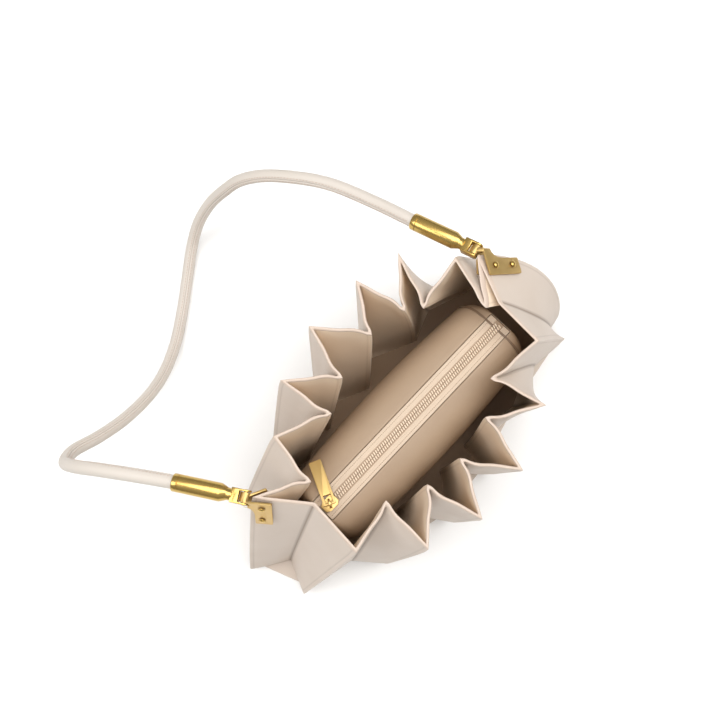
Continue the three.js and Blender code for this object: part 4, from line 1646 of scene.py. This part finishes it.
@dataclass(frozen=True)
class Studio:
    """The pale floor, the soft lights and the camera."""

    floor_half: float = 4.0
    floor_colours: tuple[Colour, Colour] = ((0.93, 0.93, 0.925), (0.9, 0.9, 0.895))
    camera_place: Point = (-0.0882, -0.0191, 0.8064)
    camera_look: Point = (0.1281, 0.1034, -0.9863)
    camera_up: Point = (0.6814, 0.7135, 0.1633)
    lens: float = 47.1
    sensor: float = 36.0
    # The world's strength at the horizon and overhead
    world: Pair = (0.3, 0.62)
    world_colour: Colour = (1.0, 0.985, 0.965)
    lights: tuple[SoftLight, ...] = (
        SoftLight("top", (0.0, 0.0, 1.7), 1.3, 20.0),
        SoftLight("key", (0.7, -0.4, 1.2), 0.6, 5.0),
        SoftLight("fill", (-0.75, 0.55, 0.9), 0.6, 4.0),
    )
    # The middle of the bag, which every light faces
    lit_point: Point = (0.0, 0.0, 0.08)

    def build(self) -> None:
        """Builds the studio."""
        self.build_camera()
        self.build_floor()
        scene = bpy.context.scene
        scene.view_settings.view_transform = "Standard"
        world = bpy.data.worlds.new("studio")
        world.use_nodes = True
        nodes = Nodes(world.node_tree)
        ways = nodes.add("SeparateXYZ", {0: nodes.add("TexCoord").outputs["Object"]})
        background = world.node_tree.nodes["Background"]
        background.inputs["Color"].default_value = (*self.world_colour, 1.0)
        nodes.link(nodes.spread(ways.outputs["Z"], *self.world), background, "Strength")
        scene.world = world
        for light in self.lights:
            self.add_light(light)

    def build_camera(self) -> None:
        """Sets the camera at the photograph's view."""
        data = bpy.data.cameras.new("camera")
        data.lens, data.sensor_width = self.lens, self.sensor
        data.clip_start = 0.01
        camera = bpy.data.objects.new("camera", data)
        back = -Vector(self.camera_look).normalized()
        right = Vector(self.camera_up).cross(back).normalized()
        up = back.cross(right)
        turn = Matrix((right, up, back)).transposed().to_4x4()
        camera.matrix_world = Matrix.Translation(self.camera_place) @ turn
        bpy.context.scene.collection.objects.link(camera)
        bpy.context.scene.camera = camera

    def build_floor(self) -> None:
        """Lays a pale floor."""
        material, nodes, shader, place = new_material("floor", Roughness=0.9)
        cloud = nodes.add("TexNoise", {"Vector": place, "Scale": 3.0})
        pale = nodes.blend(cloud.outputs[0], *self.floor_colours)
        nodes.link(pale, shader, "Base Color")
        bm = bmesh.new()
        bmesh.ops.create_grid(bm, x_segments=2, y_segments=2, size=self.floor_half)
        mesh = bpy.data.meshes.new("floor")
        bm.to_mesh(mesh)
        bm.free()
        mesh.materials.append(material)
        floor = bpy.data.objects.new("floor", mesh)
        bpy.context.scene.collection.objects.link(floor)

    def add_light(self, light: SoftLight) -> None:
        """Adds a soft light that faces the bag.

        Args:
            light: the light.
        """
        data = bpy.data.lights.new(light.name, "AREA")
        data.shape, data.size, data.energy = "SQUARE", light.size, light.power
        lamp = bpy.data.objects.new(light.name, data)
        lamp.location = light.place
        lamp.rotation_mode = "QUATERNION"
        facing = Vector(self.lit_point) - Vector(light.place)
        lamp.rotation_quaternion = facing.to_track_quat("-Z", "Y")
        bpy.context.scene.collection.objects.link(lamp)


def main() -> None:
    """Builds the studio and the bag."""
    logging.basicConfig(level=logging.INFO, format="%(name)s: %(message)s")
    Studio().build()
    pouch = ZippedPouch()
    finishes = Finishes.make(pouch.turn)
    RolledStrap().build(finishes)
    FoldedWall().build(finishes)
    BasePanel().build(finishes)
    pouch.build(finishes)
    GoldFittings().build(finishes)


if __name__ == "__main__":
    main()
